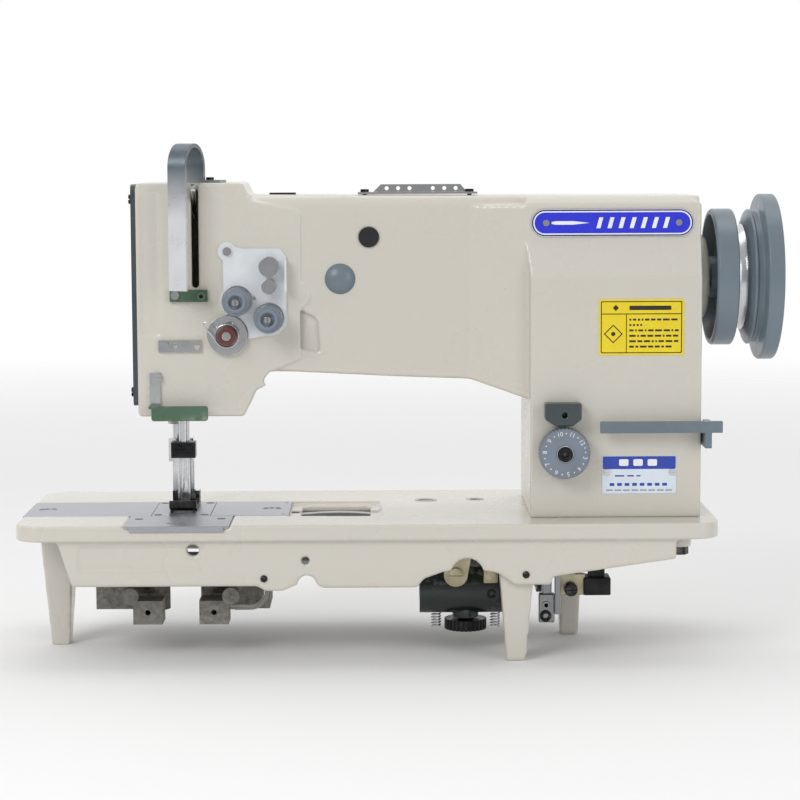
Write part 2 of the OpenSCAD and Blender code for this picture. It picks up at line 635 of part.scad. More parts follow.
module face_plate() {
  color([0.25, 0.30, 0.31]) place() difference() {
    yz(head_x - 3.5, head_x) round_rect(head_y0 + 1, head_y1 - 1, head_bottom + 8, head_top - 1, 5);
    for (p = face_plate_screws) xcyl(1.75 + screw_fit, head_x - 5, head_x + 1, p[0], p[1]);
  }
}

// Flat cover on a rear face, with rounded corners and screw holes
module back_plate(b, y, t, screws) {
  difference() {
    xz(y, y + t) round_rect(b[0], b[1], b[2], b[3], 6);
    for (p = screws) ycyl(1.75 + screw_fit, y - 1, y + t + 1, p[0], p[1]);
  }
}

module rear_covers() {
  color([0.78, 0.78, 0.74]) place() {
    back_plate(rear_cover_box, column_y1, 2.5, rear_cover_screws);
    back_plate(arm_cover_box, arm_y1, 2.5, arm_cover_screws);
  }
}

// ---------- plates on the bed ----------

module needle_plate() {
  g = slide_gap;
  color([0.70, 0.72, 0.74]) place() difference() {
    box(needle_plate_x0, needle_plate_x1, track_y0, track_y1, -plate_t, 0);
    // Slot that the feed dog and the needles work in
    box(needle_x - 9, needle_x + 9, shaft_y - 20, shaft_y + 18, -plate_t - 1, 1);
    for (p = needle_plate_screws) zcyl(1.75 + screw_fit, -plate_t - 1, 1, p[0], p[1]);
    for (p = needle_plate_screws) zcyl(3.2 + screw_fit, -1.5, 1, p[0], p[1]);
  }
}

module left_slide_plate() {
  color([0.71, 0.71, 0.74]) place() difference() {
    box(0, needle_plate_x0 - slide_gap, track_y0, track_y1, -plate_t, 0);
    translate([14, shaft_y, -0.8]) cylinder(r = 7, h = 2);
  }
}

module right_slide_plate() {
  color([0.71, 0.71, 0.74]) place() difference() {
    box(needle_plate_x1 + slide_gap, right_plate_x1, track_y0, track_y1, -plate_t, 0);
    for (y = [track_y0 + 6, track_y1 - 6]) zcyl(1.5, -1.2, 1, right_plate_x1 - 4, y);
    translate([right_plate_x1 - 14, shaft_y, -0.8]) cylinder(r = 7, h = 2);
  }
}

module front_cover_plate() {
  color([0.72, 0.73, 0.75]) place() difference() {
    union() {
      box(cover_x0, cover_x1, front + 0.5, track_y0 - 2 * slide_gap, -plate_t, 0);
      // Lip that turns down over the rim's edge
      box(cover_x0 + 4, cover_x1 - 4, front - 1.2, front - 0.2, -4.5, 0);
      box(cover_x0 + 4, cover_x1 - 4, front - 1.2, front + 1, -plate_t, 0);
    }
    for (p = cover_screws) zcyl(1.75 + screw_fit, -plate_t - 1, 1, p[0], p[1]);
    for (p = cover_screws) zcyl(3.2 + screw_fit, -1.5, 1, p[0], p[1]);
    box(needle_x - 7, needle_x + 7, front + 12, front + 15, -plate_t - 1, 1);
  }
}

// Leaf spring in the pocket, bowed up to press on the slide plate
module leaf_spring() {
  x0 = right_plate_x1 + 1;
  l = pocket_l - 12;
  z = -spring_seat;
  color([0.75, 0.76, 0.78]) place() difference() {
    union() {
      box(x0, x0 + 8, shaft_y - 5, shaft_y + 5, z, z + 0.8);
      xz(shaft_y - 4, shaft_y + 4) polygon(concat(
        [for (i = [0:12]) [x0 + 7 + l * i / 12, z + 1.4 * sin(180 * i / 12)]],
        [for (i = [12:-1:0]) [x0 + 7 + l * i / 12, z + 0.8 + 1.4 * sin(180 * i / 12)]]));
    }
    zcyl(1.5 + screw_fit, -10, 1, right_plate_x1 + 4, shaft_y);
  }
}

module bed_plugs() {
  color([0.62, 0.62, 0.60]) place() for (p = bed_plug_places) difference() {
    zcyl(p[2], -bed_web + 0.5, -0.1, p[0], p[1]);
    zcyl(p[2] - 2, -1, 1, p[0], p[1]);
  }
}

// ---------- plugs, plates and labels on the arm ----------

module rubber_plugs() {
  p = face_plugs[0];
  color([0.06, 0.06, 0.07]) place() {
    ycyl(p[2], arm_y0 + 1, arm_y0 + 7, p[0], p[1]);
    ycyl(p[2] + 1.6, arm_y0 - 1.2, arm_y0, p[0], p[1]);
    box(top_plug[0] - 9.8, top_plug[0] + 9.8, top_plug[1] - 5.8, top_plug[1] + 5.8, arm_top - 6, arm_top + 1);
  }
}

module dome_cap() {
  p = face_plugs[1];
  color([0.55, 0.60, 0.66]) place() union() {
    ycyl(p[2], arm_y0 - eps, arm_y0 + 7, p[0], p[1]);
    intersection() {
      translate([p[0], arm_y0 + 11, p[1]]) sphere(r = 16);
      ycyl(p[2] + 3.4, arm_y0 - 6, arm_y0, p[0], p[1]);
    }
  }
}

// Oval plate on the column's upper front and a small plate near its foot
module nameplates() {
  z = arm_top - 21.5;
  color([0.10, 0.13, 0.80]) place() difference() {
    xz(upper_y0 - 0.9, upper_y0) round_rect(column_x0 + 1, column_x1 - 6, z - 10.2, z + 10.2, 10.1);
    for (p = name_pins) ycyl(1.2 + screw_fit, upper_y0 - 3, upper_y0 + 1, p[0], p[1]);
  }
  color([0.82, 0.86, 0.93]) place() difference() {
    xz(column_y0 - 0.6, column_y0) round_rect(column_x0 + 53.5, column_x0 + 108.5, 17.8, 46.2, 1);
    for (p = data_pins) ycyl(1.2 + screw_fit, column_y0 - 3, column_y0 + 1, p[0], p[1]);
  }
}

module info_label() {
  color([0.92, 0.82, 0.15]) place()
    xz(column_y0 - 0.3, column_y0)
      round_rect(column_x0 + 50.5, column_x0 + 113.5, shaft_z - 55, shaft_z - 13.5, 1);
}

// ---------- thread path ----------

module arm_thread_guide() {
  color([0.55, 0.56, 0.57]) place() difference() {
    union() {
      box(guide_x0, guide_x0 + guide_l, -32, -9, arm_top, arm_top + 1.5);
      xz(-10.5, -9) polygon([[guide_x0 + 10, arm_top], [guide_x0 + 83, arm_top],
        [guide_x0 + 77, arm_top + 7], [guide_x0 + 17, arm_top + 7]]);
    }
    for (i = [0:5]) ycyl(1.5, -12, -8, guide_x0 + 21.5 + i * 8.6 + (i > 2 ? 9 : 0), arm_top + 4);
    for (p = guide_screws) zcyl(1.6 + screw_fit, arm_top - 1, arm_top + 3, p[0], p[1]);
  }
}

// Bent strap: up in front of the take-up slot, over, and down to a foot screwed on the head
module take_up_guard() {
  t = 3;
  r = guard_run / 2;
  bend_z = head_top + 29 - r;
  over = [180:-10:0];
  color([0.36, 0.41, 0.44]) place() translate([guard_p[0], guard_p[1], 0]) rotate([0, 0, -guard_turn])
    difference() {
      union() {
        yz(0, guard_w) polygon(concat(
          [[0, shaft_z - 6]], [for (a = over) [r + r * cos(a), bend_z + r * sin(a)]],
          [[guard_run, head_top], [guard_run - t, head_top]],
          [for (a = over) [r - (r - t) * cos(a), bend_z + (r - t) * sin(a)]], [[t, shaft_z - 6]]));
        box(0, guard_w + 13, guard_run - t, guard_run + 9, head_top, head_top + 2);
      }
      zcyl(1.6 + screw_fit, head_top - 1, head_top + 3, guard_w + 2, guard_run + 4);
    }
}

module head_thread_guides() {
  color([0.42, 0.50, 0.43]) place() {
    // Thread clamp beside the guard's lower end
    difference() {
      union() {
        box(head_x + 25, head_x + 53, head_y0 - 3, head_y0, shaft_z - 15, shaft_z - 6);
        ycyl(3, head_y0 - 10, head_y0 - 3 + eps, head_x + 49, shaft_z - 10.5);
      }
      ycyl(1.6 + screw_fit, head_y0 - 4, head_y0 + 1, head_x + 29, shaft_z - 10);
      ycyl(1.6, head_y0 - 12, head_y0 + 1, head_x + 49, shaft_z - 10.5);
    }
    // Lower guide with an open eye
    difference() {
      box(head_x + 16, head_x + 48, head_y0 - 2, head_y0, shaft_z - 52.5, shaft_z - 43.5);
      ycyl(1.6 + screw_fit, head_y0 - 3, head_y0 + 1, head_x + 21, shaft_z - 48);
      ycyl(2, head_y0 - 3, head_y0 + 1, head_x + 28, shaft_z - 48);
      ycyl(2.6, head_y0 - 3, head_y0 + 1, head_x + 44, shaft_z - 48.5);
    }
  }
}

// Bar that keeps fingers away from the needles, on a bracket at the head's foot
module finger_guard() {
  z = head_bottom + 9;
  color([0.30, 0.42, 0.33]) place() difference() {
    union() {
      box(head_x + 9, head_x + 17, head_y0 - 2, head_y0, z, z + 24);
      box(head_x + 9, head_x + 17, head_y0 - 12, head_y0 - 2 + eps, z - 2, z);
      xz(head_y0 - 12, head_y0 - 9) round_rect(head_x + 11, head_x + 53, z - 11, z, 2);
    }
    ycyl(1.6 + screw_fit, head_y0 - 3, head_y0 + 1, head_x + 15, head_bottom + 30);
  }
}

module tension_plate() {
  r = knob_r + 3;
  color([0.62, 0.65, 0.68]) place() difference() {
    union() {
      xz(face_y, head_y0) offset(r = -2) offset(r = 4) offset(delta = -2) union() {
        translate(ear) circle(r = 7);
        polygon([[ear[0] - 3, ear[1] - 6], [ear[0] + 4, ear[1] + 4], [stud1[0] - 20, ear[1] + 2],
          [stud1[0] + 8, ear[1] + 2], [stud1[0] + 12.5, ear[1] - 4], [stud1[0] + 12.5, knob2[1] + 6],
          [knob2[0] - 2, knob2[1] - r], [knob2[0] - 18, check[1] - 3], [check[0], check[1] + 6],
          [ear[0] - 3, knob1[1]]]);
        translate(knob2) circle(r = r);
        translate(knob1) circle(r = r - 1);
      }
      // Edge bent forward beside the studs
      box(stud1[0] + 11.5, stud1[0] + 13, face_y - 7, face_y, stud2[1] - 4, stud1[1] + 5);
    }
    ycyl(1.6 + screw_fit, face_y - 1, head_y0 + 1, ear[0], ear[1]);
    for (p = post_places) ycyl(2.5 + screw_fit, face_y - 1, head_y0 + 1, p[0], p[1]);
    ycyl(check_r + 0.5, face_y - 1, head_y0 + 1, check[0], check[1]);
    for (p = [[-1, 16], [-11, -9]]) ycyl(1.2, face_y - 1, head_y0 + 1, knob2[0] + p[0], stud2[1] + p[1]);
  }
}

module tension_posts() {
  color([0.80, 0.80, 0.81]) place() {
    for (p = [knob1, knob2]) difference() {
      ycyl(2.5, post_tip, head_y0 + arm_wall, p[0], p[1]);
      box(p[0] - 0.4, p[0] + 0.4, post_tip - 1, post_tip + 5, p[1] - 4, p[1] + 4);
    }
    ycyl(3, head_y0 - 14, head_y0 + arm_wall, check[0], check[1]);
    // Pretension studs, each a spool with two flanges
    for (p = [[stud1, 7.5], [stud2, 5.6]]) {
      ycyl(2.5, face_y - 6, head_y0 + arm_wall, p[0][0], p[0][1]);
      ycyl(p[1], face_y - 2, face_y - 0.2, p[0][0], p[0][1]);
      ycyl(p[1] - 2.5, face_y - 7, face_y - 1, p[0][0], p[0][1]);
      ycyl(p[1], face_y - 9, face_y - 7 + eps, p[0][0], p[0][1]);
    }
  }
}

module tension_discs() {
  color([0.83, 0.83, 0.84]) place() for (p = [knob1, knob2]) for (i = [0:2]) {
    y = face_y - 1.6 - i * 1.7;
    difference() {
      ycyl(disc_r - (i == 2 ? 1.5 : 0), y - 1.2, y, p[0], p[1]);
      ycyl(2.5 + run_fit, y - 2, y + 1, p[0], p[1]);
    }
  }
}

module tension_springs() {
  color([0.72, 0.72, 0.70]) place() for (p = [knob1, knob2])
    translate([p[0], face_y - 6.6, p[1]]) rotate([90, 0, 0]) coil(6.2, 4.2, 0.5, 4, 7.5);
}

// Knurled nut that turns on a tension post
module tension_knob(p) {
  y1 = face_y - 14.6;
  difference() {
    union() {
      translate([p[0], y1, p[1]]) rotate([90, 0, 0]) toothed(knob_r, 0.6, 36, 8);
      ycyl(knob_r - 2.5, y1 - 10, y1 - 8 + eps, p[0], p[1]);
    }
    ycyl(2.5 + run_fit, y1 - 12, y1 + 1, p[0], p[1]);
    ycyl(knob_r - 5.5, y1 - 12, y1 - 7, p[0], p[1]);
  }
}

module upper_tension_knob() { color([0.54, 0.58, 0.62]) place() tension_knob(knob1); }

module lower_tension_knob() { color([0.54, 0.58, 0.62]) place() tension_knob(knob2); }

module check_spring_disc() {
  color([0.66, 0.68, 0.70]) place() difference() {
    union() {
      ycyl(check_r, head_y0 - 4, head_y0 - 0.1, check[0], check[1]);
      ycyl(6.7, head_y0 - 13, head_y0 - 4 + eps, check[0], check[1]);
    }
    ycyl(3 + screw_fit, head_y0 - 14, head_y0 + 1, check[0], check[1]);
    for (p = [[-9, 8], [2.5, 10]]) ycyl(2, head_y0 - 5, head_y0 - 1, check[0] + p[0], check[1] + p[1]);
  }
}

// Wire wound on its disc, with an arm that reaches the thread
module check_spring() {
  r = 8.6;
  color([0.78, 0.77, 0.74]) place() translate([check[0], head_y0 - 6, check[1]])
    mirror([1, 0, 0]) rotate([90, 0, 0]) rotate(143) coil(r, r, 0.5, 2.5, 5, tail = 14);
}

module take_up_lever() {
  py = take_up_pivot_y;
  pz = take_up_pivot_z;
  tip = [head_y0 - 9, slot_z0 + slot_l - 4];
  dx = 1.5;
  color([0.78, 0.78, 0.79]) place() union() {
    difference() {
      union() {
        hull() {
          xcyl(5.5, take_up_x - dx, take_up_x + dx, py, pz, $fn = 32);
          xcyl(3.2, take_up_x - dx, take_up_x + dx, tip[0], tip[1], $fn = 32);
        }
        xcyl(6, take_up_x - dx, take_up_x + 6, py, pz);
        // Stub shaft that turns in the casting's post
        xcyl(3, take_up_x, cavity_x1 - 6, py, pz);
      }
      xcyl(1.6, take_up_x - 9, take_up_x + 9, tip[0] + 0.5, tip[1]);
    }
  }
}

// ---------- arm shaft and handwheel ----------

module arm_shaft() {
  color([0.60, 0.61, 0.62]) place() xcyl(shaft_d / 2, crank_x1 - 4, wheel_x1 - 6, shaft_y, shaft_z);
}

// Counterweighted crank on the arm shaft's end, with a short pin for the needle bar's link
module crank() {
  color([0.45, 0.46, 0.47]) place() difference() {
    union() {
      xcyl(14, crank_x0, crank_x1, shaft_y, shaft_z);
      intersection() {
        xcyl(22, crank_x0, crank_x1, shaft_y, shaft_z);
        box(crank_x0, crank_x1, shaft_y - 22, shaft_y + 22, shaft_z - 23, shaft_z + 2);
      }
      hull() {
        xcyl(6, crank_x0, crank_x1, shaft_y, shaft_z + crank_r, $fn = 32);
        xcyl(10, crank_x0, crank_x1, shaft_y, shaft_z, $fn = 32);
      }
      xcyl(3, crank_x0 - 3, crank_x0 + 1, shaft_y, shaft_z + crank_r);
    }
    xcyl(shaft_d / 2, crank_x1 - 4, crank_x1 + 1, shaft_y, shaft_z);
  }
}

module shaft_bushings() {
  color([0.72, 0.55, 0.30]) place() for (b = bushing_spans) difference() {
    xcyl(bushing_r, b[0], b[1], shaft_y, shaft_z);
    xcyl(shaft_d / 2 + run_fit, b[0] - 1, b[1] + 1, shaft_y, shaft_z);
  }
}

// Handwheel: a hollow ring, a core that carries the belt groove, a flange and a dished rim
module handwheel() {
  rim0 = wheel_x0 + ring_w + groove_w;
  flange_r = ring_r - 0.5;
  flange_w = 6.5;
  face_w = wheel_rim_w - 1.5;
  web_w = face_w - 7;
  rim_back = 11.5;
  dish_r = wheel_r - 12;
  hub_r = 20;
  color([0.36, 0.41, 0.44]) place() rotate_about_shaft() difference() {
    union() {
      // Inner ring, open towards the column
      translate([0, 0, wheel_x0]) rotate_extrude() difference() {
        polygon([[0, 0], [ring_r - 1.5, 0], [ring_r, 1.5], [ring_r, ring_w - 1],
          [ring_r - 1, ring_w], [0, ring_w]]);
        polygon([[ring_r - 4, -1], [ring_r - 6, ring_w - 6], [17, ring_w - 6], [15, -1]]);
      }
      translate([0, 0, rim0]) rotate_extrude() polygon([
        // Flange that flares out from the belt groove, and the step behind it
        [0, 0], [pulley_r, 0], [flange_r - 1, 3.7], [flange_r, 4.5], [flange_r, flange_w - 0.5],
        [flange_r - 1.5, flange_w], [flange_r - 1.5, rim_back - 1], [flange_r, rim_back],
        // Rim
        [wheel_r - 1, rim_back + 0.6], [wheel_r, rim_back + 1.6], [wheel_r, face_w - 1],
        [wheel_r - 1, face_w],
        // Dished outer face and the hub
        [dish_r, face_w], [dish_r - 5, web_w], [hub_r + 2, web_w], [hub_r, wheel_rim_w - 1],
        [hub_r - 1, wheel_rim_w], [0, wheel_rim_w]]);
      // Core that the groove ring is pressed on
      translate([0, 0, wheel_x0 + ring_w - eps]) cylinder(r = pulley_bore_r, h = groove_w + 2 * eps);
    }
    translate([0, 0, wheel_x0 - 1]) cylinder(r = shaft_d / 2, h = wheel_x1);
  }
}

// Turns a shape from the Z axis to the arm shaft's axis
module rotate_about_shaft() { translate([0, shaft_y, shaft_z]) rotate([0, 90, 0]) children(); }

// Bright ring that the drive belt runs on, waisted between the handwheel's ring and flange
module belt_pulley() {
  color([0.78, 0.79, 0.80]) place() rotate_about_shaft() translate([0, 0, wheel_x0 + ring_w])
    rotate_extrude() polygon([[pulley_bore_r, 0], [pulley_r, 0], [groove_r, groove_w / 2 - 1.5],
      [groove_r, groove_w / 2 + 1.5], [pulley_r, groove_w], [pulley_bore_r, groove_w]]);
}

module sprocket(y, z, x0, x1, bore) {
  translate([x0, y, z]) rotate([0, 90, 0]) difference() {
    union() {
      toothed(sprocket_r, 1.4, sprocket_teeth, x1 - x0);
      for (s = [-1.6, x1 - x0]) translate([0, 0, s]) cylinder(r = sprocket_r - 1.4, h = 1.6);
      translate([0, 0, -7]) cylinder(r = 13, h = 7);
    }
    translate([0, 0, -9]) cylinder(r = bore, h = 40);
  }
}

module upper_sprocket() {
  color([0.50, 0.51, 0.52]) place() sprocket(shaft_y, shaft_z, belt_x0, belt_x1, shaft_d / 2);
}

// Toothed belt from the arm shaft down to the hook drive shaft
module timing_belt() {
  a = [shaft_y, shaft_z];
  b = [drive_y, -drive_z];
  ri = sprocket_r + free_gap;
  color([0.08, 0.08, 0.08]) place() yz(belt_x0, belt_x1) difference() {
    belt_loop(ri + 2.2, a, b);
    belt_loop(ri, a, b);
  }
}

// Outline round two equal circles of radius r about a and b
module belt_loop(r, a, b) {
  offset(r = r) translate(a) rotate(atan2(b[1] - a[1], b[0] - a[0])) translate([0, -0.01])
    square([norm(b - a), 0.02]);
}

module hook_drive_shaft() {
  color([0.60, 0.61, 0.62]) place()
    xcyl(hook_shaft_d / 2, hook_xs[0] - 22, belt_x1 + 1, drive_y, -drive_z);
}

// Two worm-like gears, and the lower sprocket, fast on the hook drive shaft
module hook_drive_gears() {
  color([0.46, 0.47, 0.48]) place() {
    for (x = hook_xs) translate([x - 6, drive_y, -drive_z]) rotate([0, 90, 0]) difference() {
      union() {
        toothed(big_gear_r, 1.5, 32, 12);
        translate([0, 0, 12 - eps]) cylinder(r = 12, h = 5);
      }
      translate([0, 0, -1]) cylinder(r = hook_shaft_d / 2, h = 30);
    }
    sprocket(drive_y, -drive_z, belt_x0, belt_x1, hook_shaft_d / 2);
  }
}

// ---------- hooks ----------

// Cup with a point, on a vertical shaft with its small gear
module hook(x, side) {
  translate([x, shaft_y, 0]) difference() {
    union() {
      translate([0, 0, hook_top - hook_h]) cylinder(r = hook_r, h = hook_h);
      translate([0, 0, -drive_z - 26]) cylinder(r = hook_post_d / 2, h = drive_z + 26 + hook_top - hook_h);
      translate([0, 0, -drive_z - 7]) toothed(small_gear_r, 1.2, 16, 14);
    }
    translate([0, 0, hook_top - hook_h + 3]) cylinder(r = hook_r - 2.5, h = hook_h);
    // Clearance behind the hook's point
    rotate([0, 0, side * 35]) translate([0, -2, hook_top - 5]) cube([hook_r + 2, 9, 6]);
  }
}

module left_hook() { color([0.76, 0.76, 0.78]) place() hook(hook_xs[0], 1); }

module right_hook() { color([0.76, 0.76, 0.78]) place() hook(hook_xs[1], -1); }

// Bobbin cases held still inside the hooks, each with a bobbin
module bobbin_cases() {
  z0 = hook_top - hook_h + 3 + free_gap;
  r = hook_r - 2.5 - free_gap;
  color([0.68, 0.68, 0.70]) place() for (x = hook_xs) translate([x, shaft_y, z0]) {
    difference() {
      cylinder(r = r, h = hook_h - 4);
      translate([0, 0, 1.2]) cylinder(r = bobbin_r + 0.3, h = hook_h);
    }
    translate([0, 0, 1.2]) {
      cylinder(r = 3.5, h = hook_h - 6.4);
      cylinder(r = bobbin_r, h = 0.9);
      translate([0, 0, hook_h - 7.3]) cylinder(r = bobbin_r, h = 0.9);
    }
  }
}

// Castings under the bed that carry each hook's shaft, with a clamp block in front
module hook_saddles() {
  z0 = -drive_z - 31;
  color([0.55, 0.54, 0.52]) place() for (i = [0, 1]) {
    x = hook_xs[i];
    s = i == 0 ? -1 : 1;
    difference() {
      union() {
        zcyl(10, z0, -drive_z - 8, x, shaft_y);
        translate([x, shaft_y, 0]) mirror([s < 0 ? 1 : 0, 0, 0]) {
          box(0, 44, -24, 20, z0 + 4, z0 + 16);
          box(18, 44, -24, 20, z0 + 15.9, -bed_web);
          // Clamp block and eccentric boss that face the operator
          box(-8, 14, -44, -22, z0 - 4, z0 + 14);
          ycyl(6.5, -48, -40, 16, -drive_z - 13);
        }
      }
      zcyl(hook_post_d / 2 + run_fit, z0 + 5, 0, x, shaft_y);
      // Way through for the hook drive shaft's gear
      xcyl(big_gear_r + 1, x - 60, x + 60, drive_y, -drive_z);
      ycyl(2 + screw_fit, shaft_y - 45, shaft_y - 30, x - s * -3, z0 + 5);
      for (p = saddle_bolts) zcyl(3 + screw_fit, -20, 1, p[0], p[1]);
    }
  }
}

// ---------- needle bar, inner foot and outer foot ----------

// Swinging frame that guides the needle bar and the inner foot bar
module needle_bar_frame() {
  y0 = shaft_y - 9;
  y1 = foot_bar_y + 5;
  x0 = needle_x - 13;
  color([0.50, 0.51, 0.52]) place() difference() {
    union() {
      for (z = [head_bottom + 14, frame_pivot_z - 22]) box(x0, needle_x + 7, y0, y1, z, z + 14);
      box(x0, x0 + 6, y0, y1, head_bottom + 14, frame_pivot_z + 5);
      xcyl(7, x0, needle_x + 7, frame_pivot_y, frame_pivot_z);
      // Stub shaft that turns in the casting's post
      xcyl(3, needle_x, cavity_x1 - 8, frame_pivot_y, frame_pivot_z);
    }
    zcyl(needle_bar_d / 2 + run_fit, 0, frame_pivot_z - 7, needle_x, shaft_y);
    zcyl(needle_bar_d / 2 + run_fit, 0, frame_pivot_z - 7, needle_x, foot_bar_y);
  }
}

module needle_bar() {
  color([0.84, 0.84, 0.85]) place() union() {
    difference() {
      zcyl(needle_bar_d / 2, clamp_z + 4, frame_pivot_z - 8.5, needle_x, shaft_y);
      box(needle_x - 5, needle_x + 5, shaft_y - 5, shaft_y + 5, clamp_z + 3, clamp_z + 3.5);
    }
    // Block and link that the crank pin drives; the joint at the pin is left open
    difference() {
      box(needle_x - 6, needle_x + 6, shaft_y - 6, shaft_y + 6, shaft_z - 38, shaft_z - 28);
      zcyl(needle_bar_d / 2, shaft_z - 39, shaft_z - 27, needle_x, shaft_y);
    }
    yz(needle_x + 6 - eps, needle_x + 9) {
      translate([shaft_y, shaft_z - 33]) circle(r = 5);
      translate([shaft_y - 3, shaft_z - 33]) square([6, 33 + crank_r - 4]);
      translate([shaft_y, shaft_z + crank_r]) circle(r = 5.5);
    }
  }
}

module needle_clamp() {
  w = needle_gauge + 10.4;
  color([0.30, 0.31, 0.33]) place()
    for (x = needle_xs) face_screw(x - 0.3, clamp_z + 7, shaft_y - 6, 3.2, 1.6, 1.6);
  color([0.10, 0.11, 0.12]) place() difference() {
    box(needle_x - w / 2, needle_x + w / 2, shaft_y - 6, shaft_y + 6, clamp_z, clamp_z + 12);
    zcyl(needle_bar_d / 2, clamp_z + 4, clamp_z + 13, needle_x, shaft_y);
    for (x = needle_xs) zcyl(needle_d / 2, clamp_z - 1, clamp_z + 3, x, shaft_y);
    for (x = needle_xs) ycyl(1.6 + screw_fit, shaft_y - 7, shaft_y - 4.2, x - 0.3, clamp_z + 7);
  }
}

module needles() {
  color([0.80, 0.80, 0.82]) place() for (x = needle_xs) {
    zcyl(needle_d / 2, needle_tip_z + 6, clamp_z + 3, x, shaft_y);
    translate([x, shaft_y, needle_tip_z]) cylinder(r1 = 0.15, r2 = needle_d / 2, h = 6 + eps);
  }
}

// Vibrating inner foot on its bar, with a hole for each needle
module inner_foot() {
  w = needle_gauge + 5.6;
  color([0.16, 0.17, 0.18]) place() union() {
    difference() {
      union() {
        zcyl(needle_bar_d / 2, 22, shaft_z + 20, needle_x, foot_bar_y);
        box(needle_x - 3, needle_x + 3, foot_bar_y - 3, foot_bar_y + 3, 3, 30);
        box(needle_x - w / 2, needle_x + w / 2, shaft_y - 7, foot_bar_y - 1, inner_foot_z, inner_foot_z + 3.2);
        box(needle_x - 3, needle_x + 3, foot_bar_y - 4, foot_bar_y + 3, inner_foot_z, inner_foot_z + 5);
      }
      for (x = needle_xs) zcyl(needle_d / 2 + 0.6, 0, 5, x, shaft_y);
    }
  }
}

module presser_bar() {
  color([0.82, 0.82, 0.83]) place() union() {
    zcyl(presser_bar_d / 2, 44, head_top - 24, presser_x, presser_y);
    // Collar that the presser spring pushes on
    zcyl(6, shaft_z - 6, shaft_z + 2, presser_x, presser_y);
  }
}

// Outer presser foot: a block clamped on its bar and two toes beside the inner foot
module presser_foot() {
  w = needle_gauge + 5.6;
  wo = w / 2 + free_gap;
  toe = 3;
  y0 = shaft_y - 14;
  yb = presser_y - presser_bar_d / 2 - 0.7;
  color([0.17, 0.18, 0.19]) place() difference() {
    union() {
      box(presser_x - 7, presser_x + 12, yb, presser_y + 6, 34, 52);
      box(presser_x - 4, needle_x + 6, yb, presser_y + 1, 10, 34 + eps);
      for (s = [-1, 1]) {
        xa = s < 0 ? needle_x - wo - toe : needle_x + wo;
        box(xa, xa + toe, shaft_y - 8, presser_y + 1, inner_foot_z, inner_foot_z + 3.4);
        box(xa, xa + toe, foot_bar_y + 2, yb + 1, inner_foot_z, 12);
        yz(xa, xa + toe) polygon([[shaft_y - 7, inner_foot_z], [y0, inner_foot_z + 2],
          [y0 - 1, inner_foot_z + 8], [y0 + 1, inner_foot_z + 8], [shaft_y - 7, inner_foot_z + 3.4]]);
      }
      box(needle_x - wo - toe, needle_x + wo + toe, yb, presser_y + 1, inner_foot_z, 12);
      // Raised front bar that joins the toes ahead of the needles
      box(needle_x - wo - toe, needle_x + wo + toe, y0 - 1, y0 + 1, inner_foot_z + 3, inner_foot_z + 8);
    }
    zcyl(presser_bar_d / 2, 44, 53, presser_x, presser_y);
  }
}

module presser_spring() {
  color([0.35, 0.36, 0.38]) place()
    translate([presser_x, presser_y, shaft_z + 2.3])
      coil(presser_bar_d / 2 + 1.6, presser_bar_d / 2 + 1.6, 1, 8, presser_spring_l);
}

module lifting_lever() {
  color([0.40, 0.44, 0.46]) place() {
    ycyl(4, head_y1 - arm_wall - 4, head_y1 + 6, lift_c[0], lift_c[1]);
    xz(head_y1 + 1, head_y1 + 6) union() {
      translate(lift_c) circle(r = 8);
      translate([lift_c[0] - 4, lift_c[1] - 52]) square([8, 52]);
      translate([lift_c[0], lift_c[1] - 52]) circle(r = 5.5);
    }
  }
}

// ---------- feed ----------

module feed_dog() {
  color([0.62, 0.63, 0.65]) place() union() {
    difference() {
      union() {
        box(needle_x - 7.5, needle_x + 7.5, shaft_y - 14, shaft_y + 12, dog_z, -1.4);
        for (i = [0:10]) translate([needle_x, shaft_y - 13 + i * 2.3, -1.4]) rotate([0, -90, 0])
          translate([0, 0, -7]) linear_extrude(14) polygon([[-eps, 0], [1.1, 1.2], [-eps, 2.1]]);
      }
      for (x = needle_xs) zcyl(needle_d / 2 + 0.9, -8, 1, x, shaft_y);
    }
    // Feed bar behind the needles
    box(needle_x - 3, needle_x + 3, shaft_y + 7, rock_y - 8, -16, -bed_web - 1);
    box(needle_x - 3, needle_x + 3, shaft_y + 7, shaft_y + 12, -16, dog_z + eps);
  }
}

module feed_rock_shaft() {
  color([0.60, 0.61, 0.62]) place() union() {
    xcyl(5, needle_x - 12, reg_x1 + 6, rock_y, rock_z);
    difference() {
      hull() {
        xcyl(8, needle_x + 4, needle_x + 10, rock_y, rock_z, $fn = 32);
        xcyl(4, needle_x + 4, needle_x + 10, rock_y - 12, -13, $fn = 32);
      }
      xcyl(2, needle_x, needle_x + 12, rock_y - 12, -13);
    }
  }
}

// ---------- controls ----------

module stitch_dial() {
  y1 = column_y0 - 3;
  color([0.43, 0.46, 0.50]) place() difference() {
    union() {
      translate([dial_c[0], y1, dial_c[1]]) rotate([90, 0, 0]) toothed(dial_r, 0.7, 44, dial_t);
      ycyl(dial_r - 3, y1 - dial_t - 1.2, y1 - dial_t + eps, dial_c[0], dial_c[1]);
      ycyl(8, y1 - dial_t - 3, y1 - dial_t + 3, dial_c[0], dial_c[1]);
      ycyl(dial_post_r, y1 - 4, column_y0 + 30, dial_c[0], dial_c[1]);
    }
    translate([dial_c[0], y1 - dial_t - 4, dial_c[1]]) rotate([-90, 0, 0]) cylinder(r = 4, h = 7, $fn = 6);
  }
}

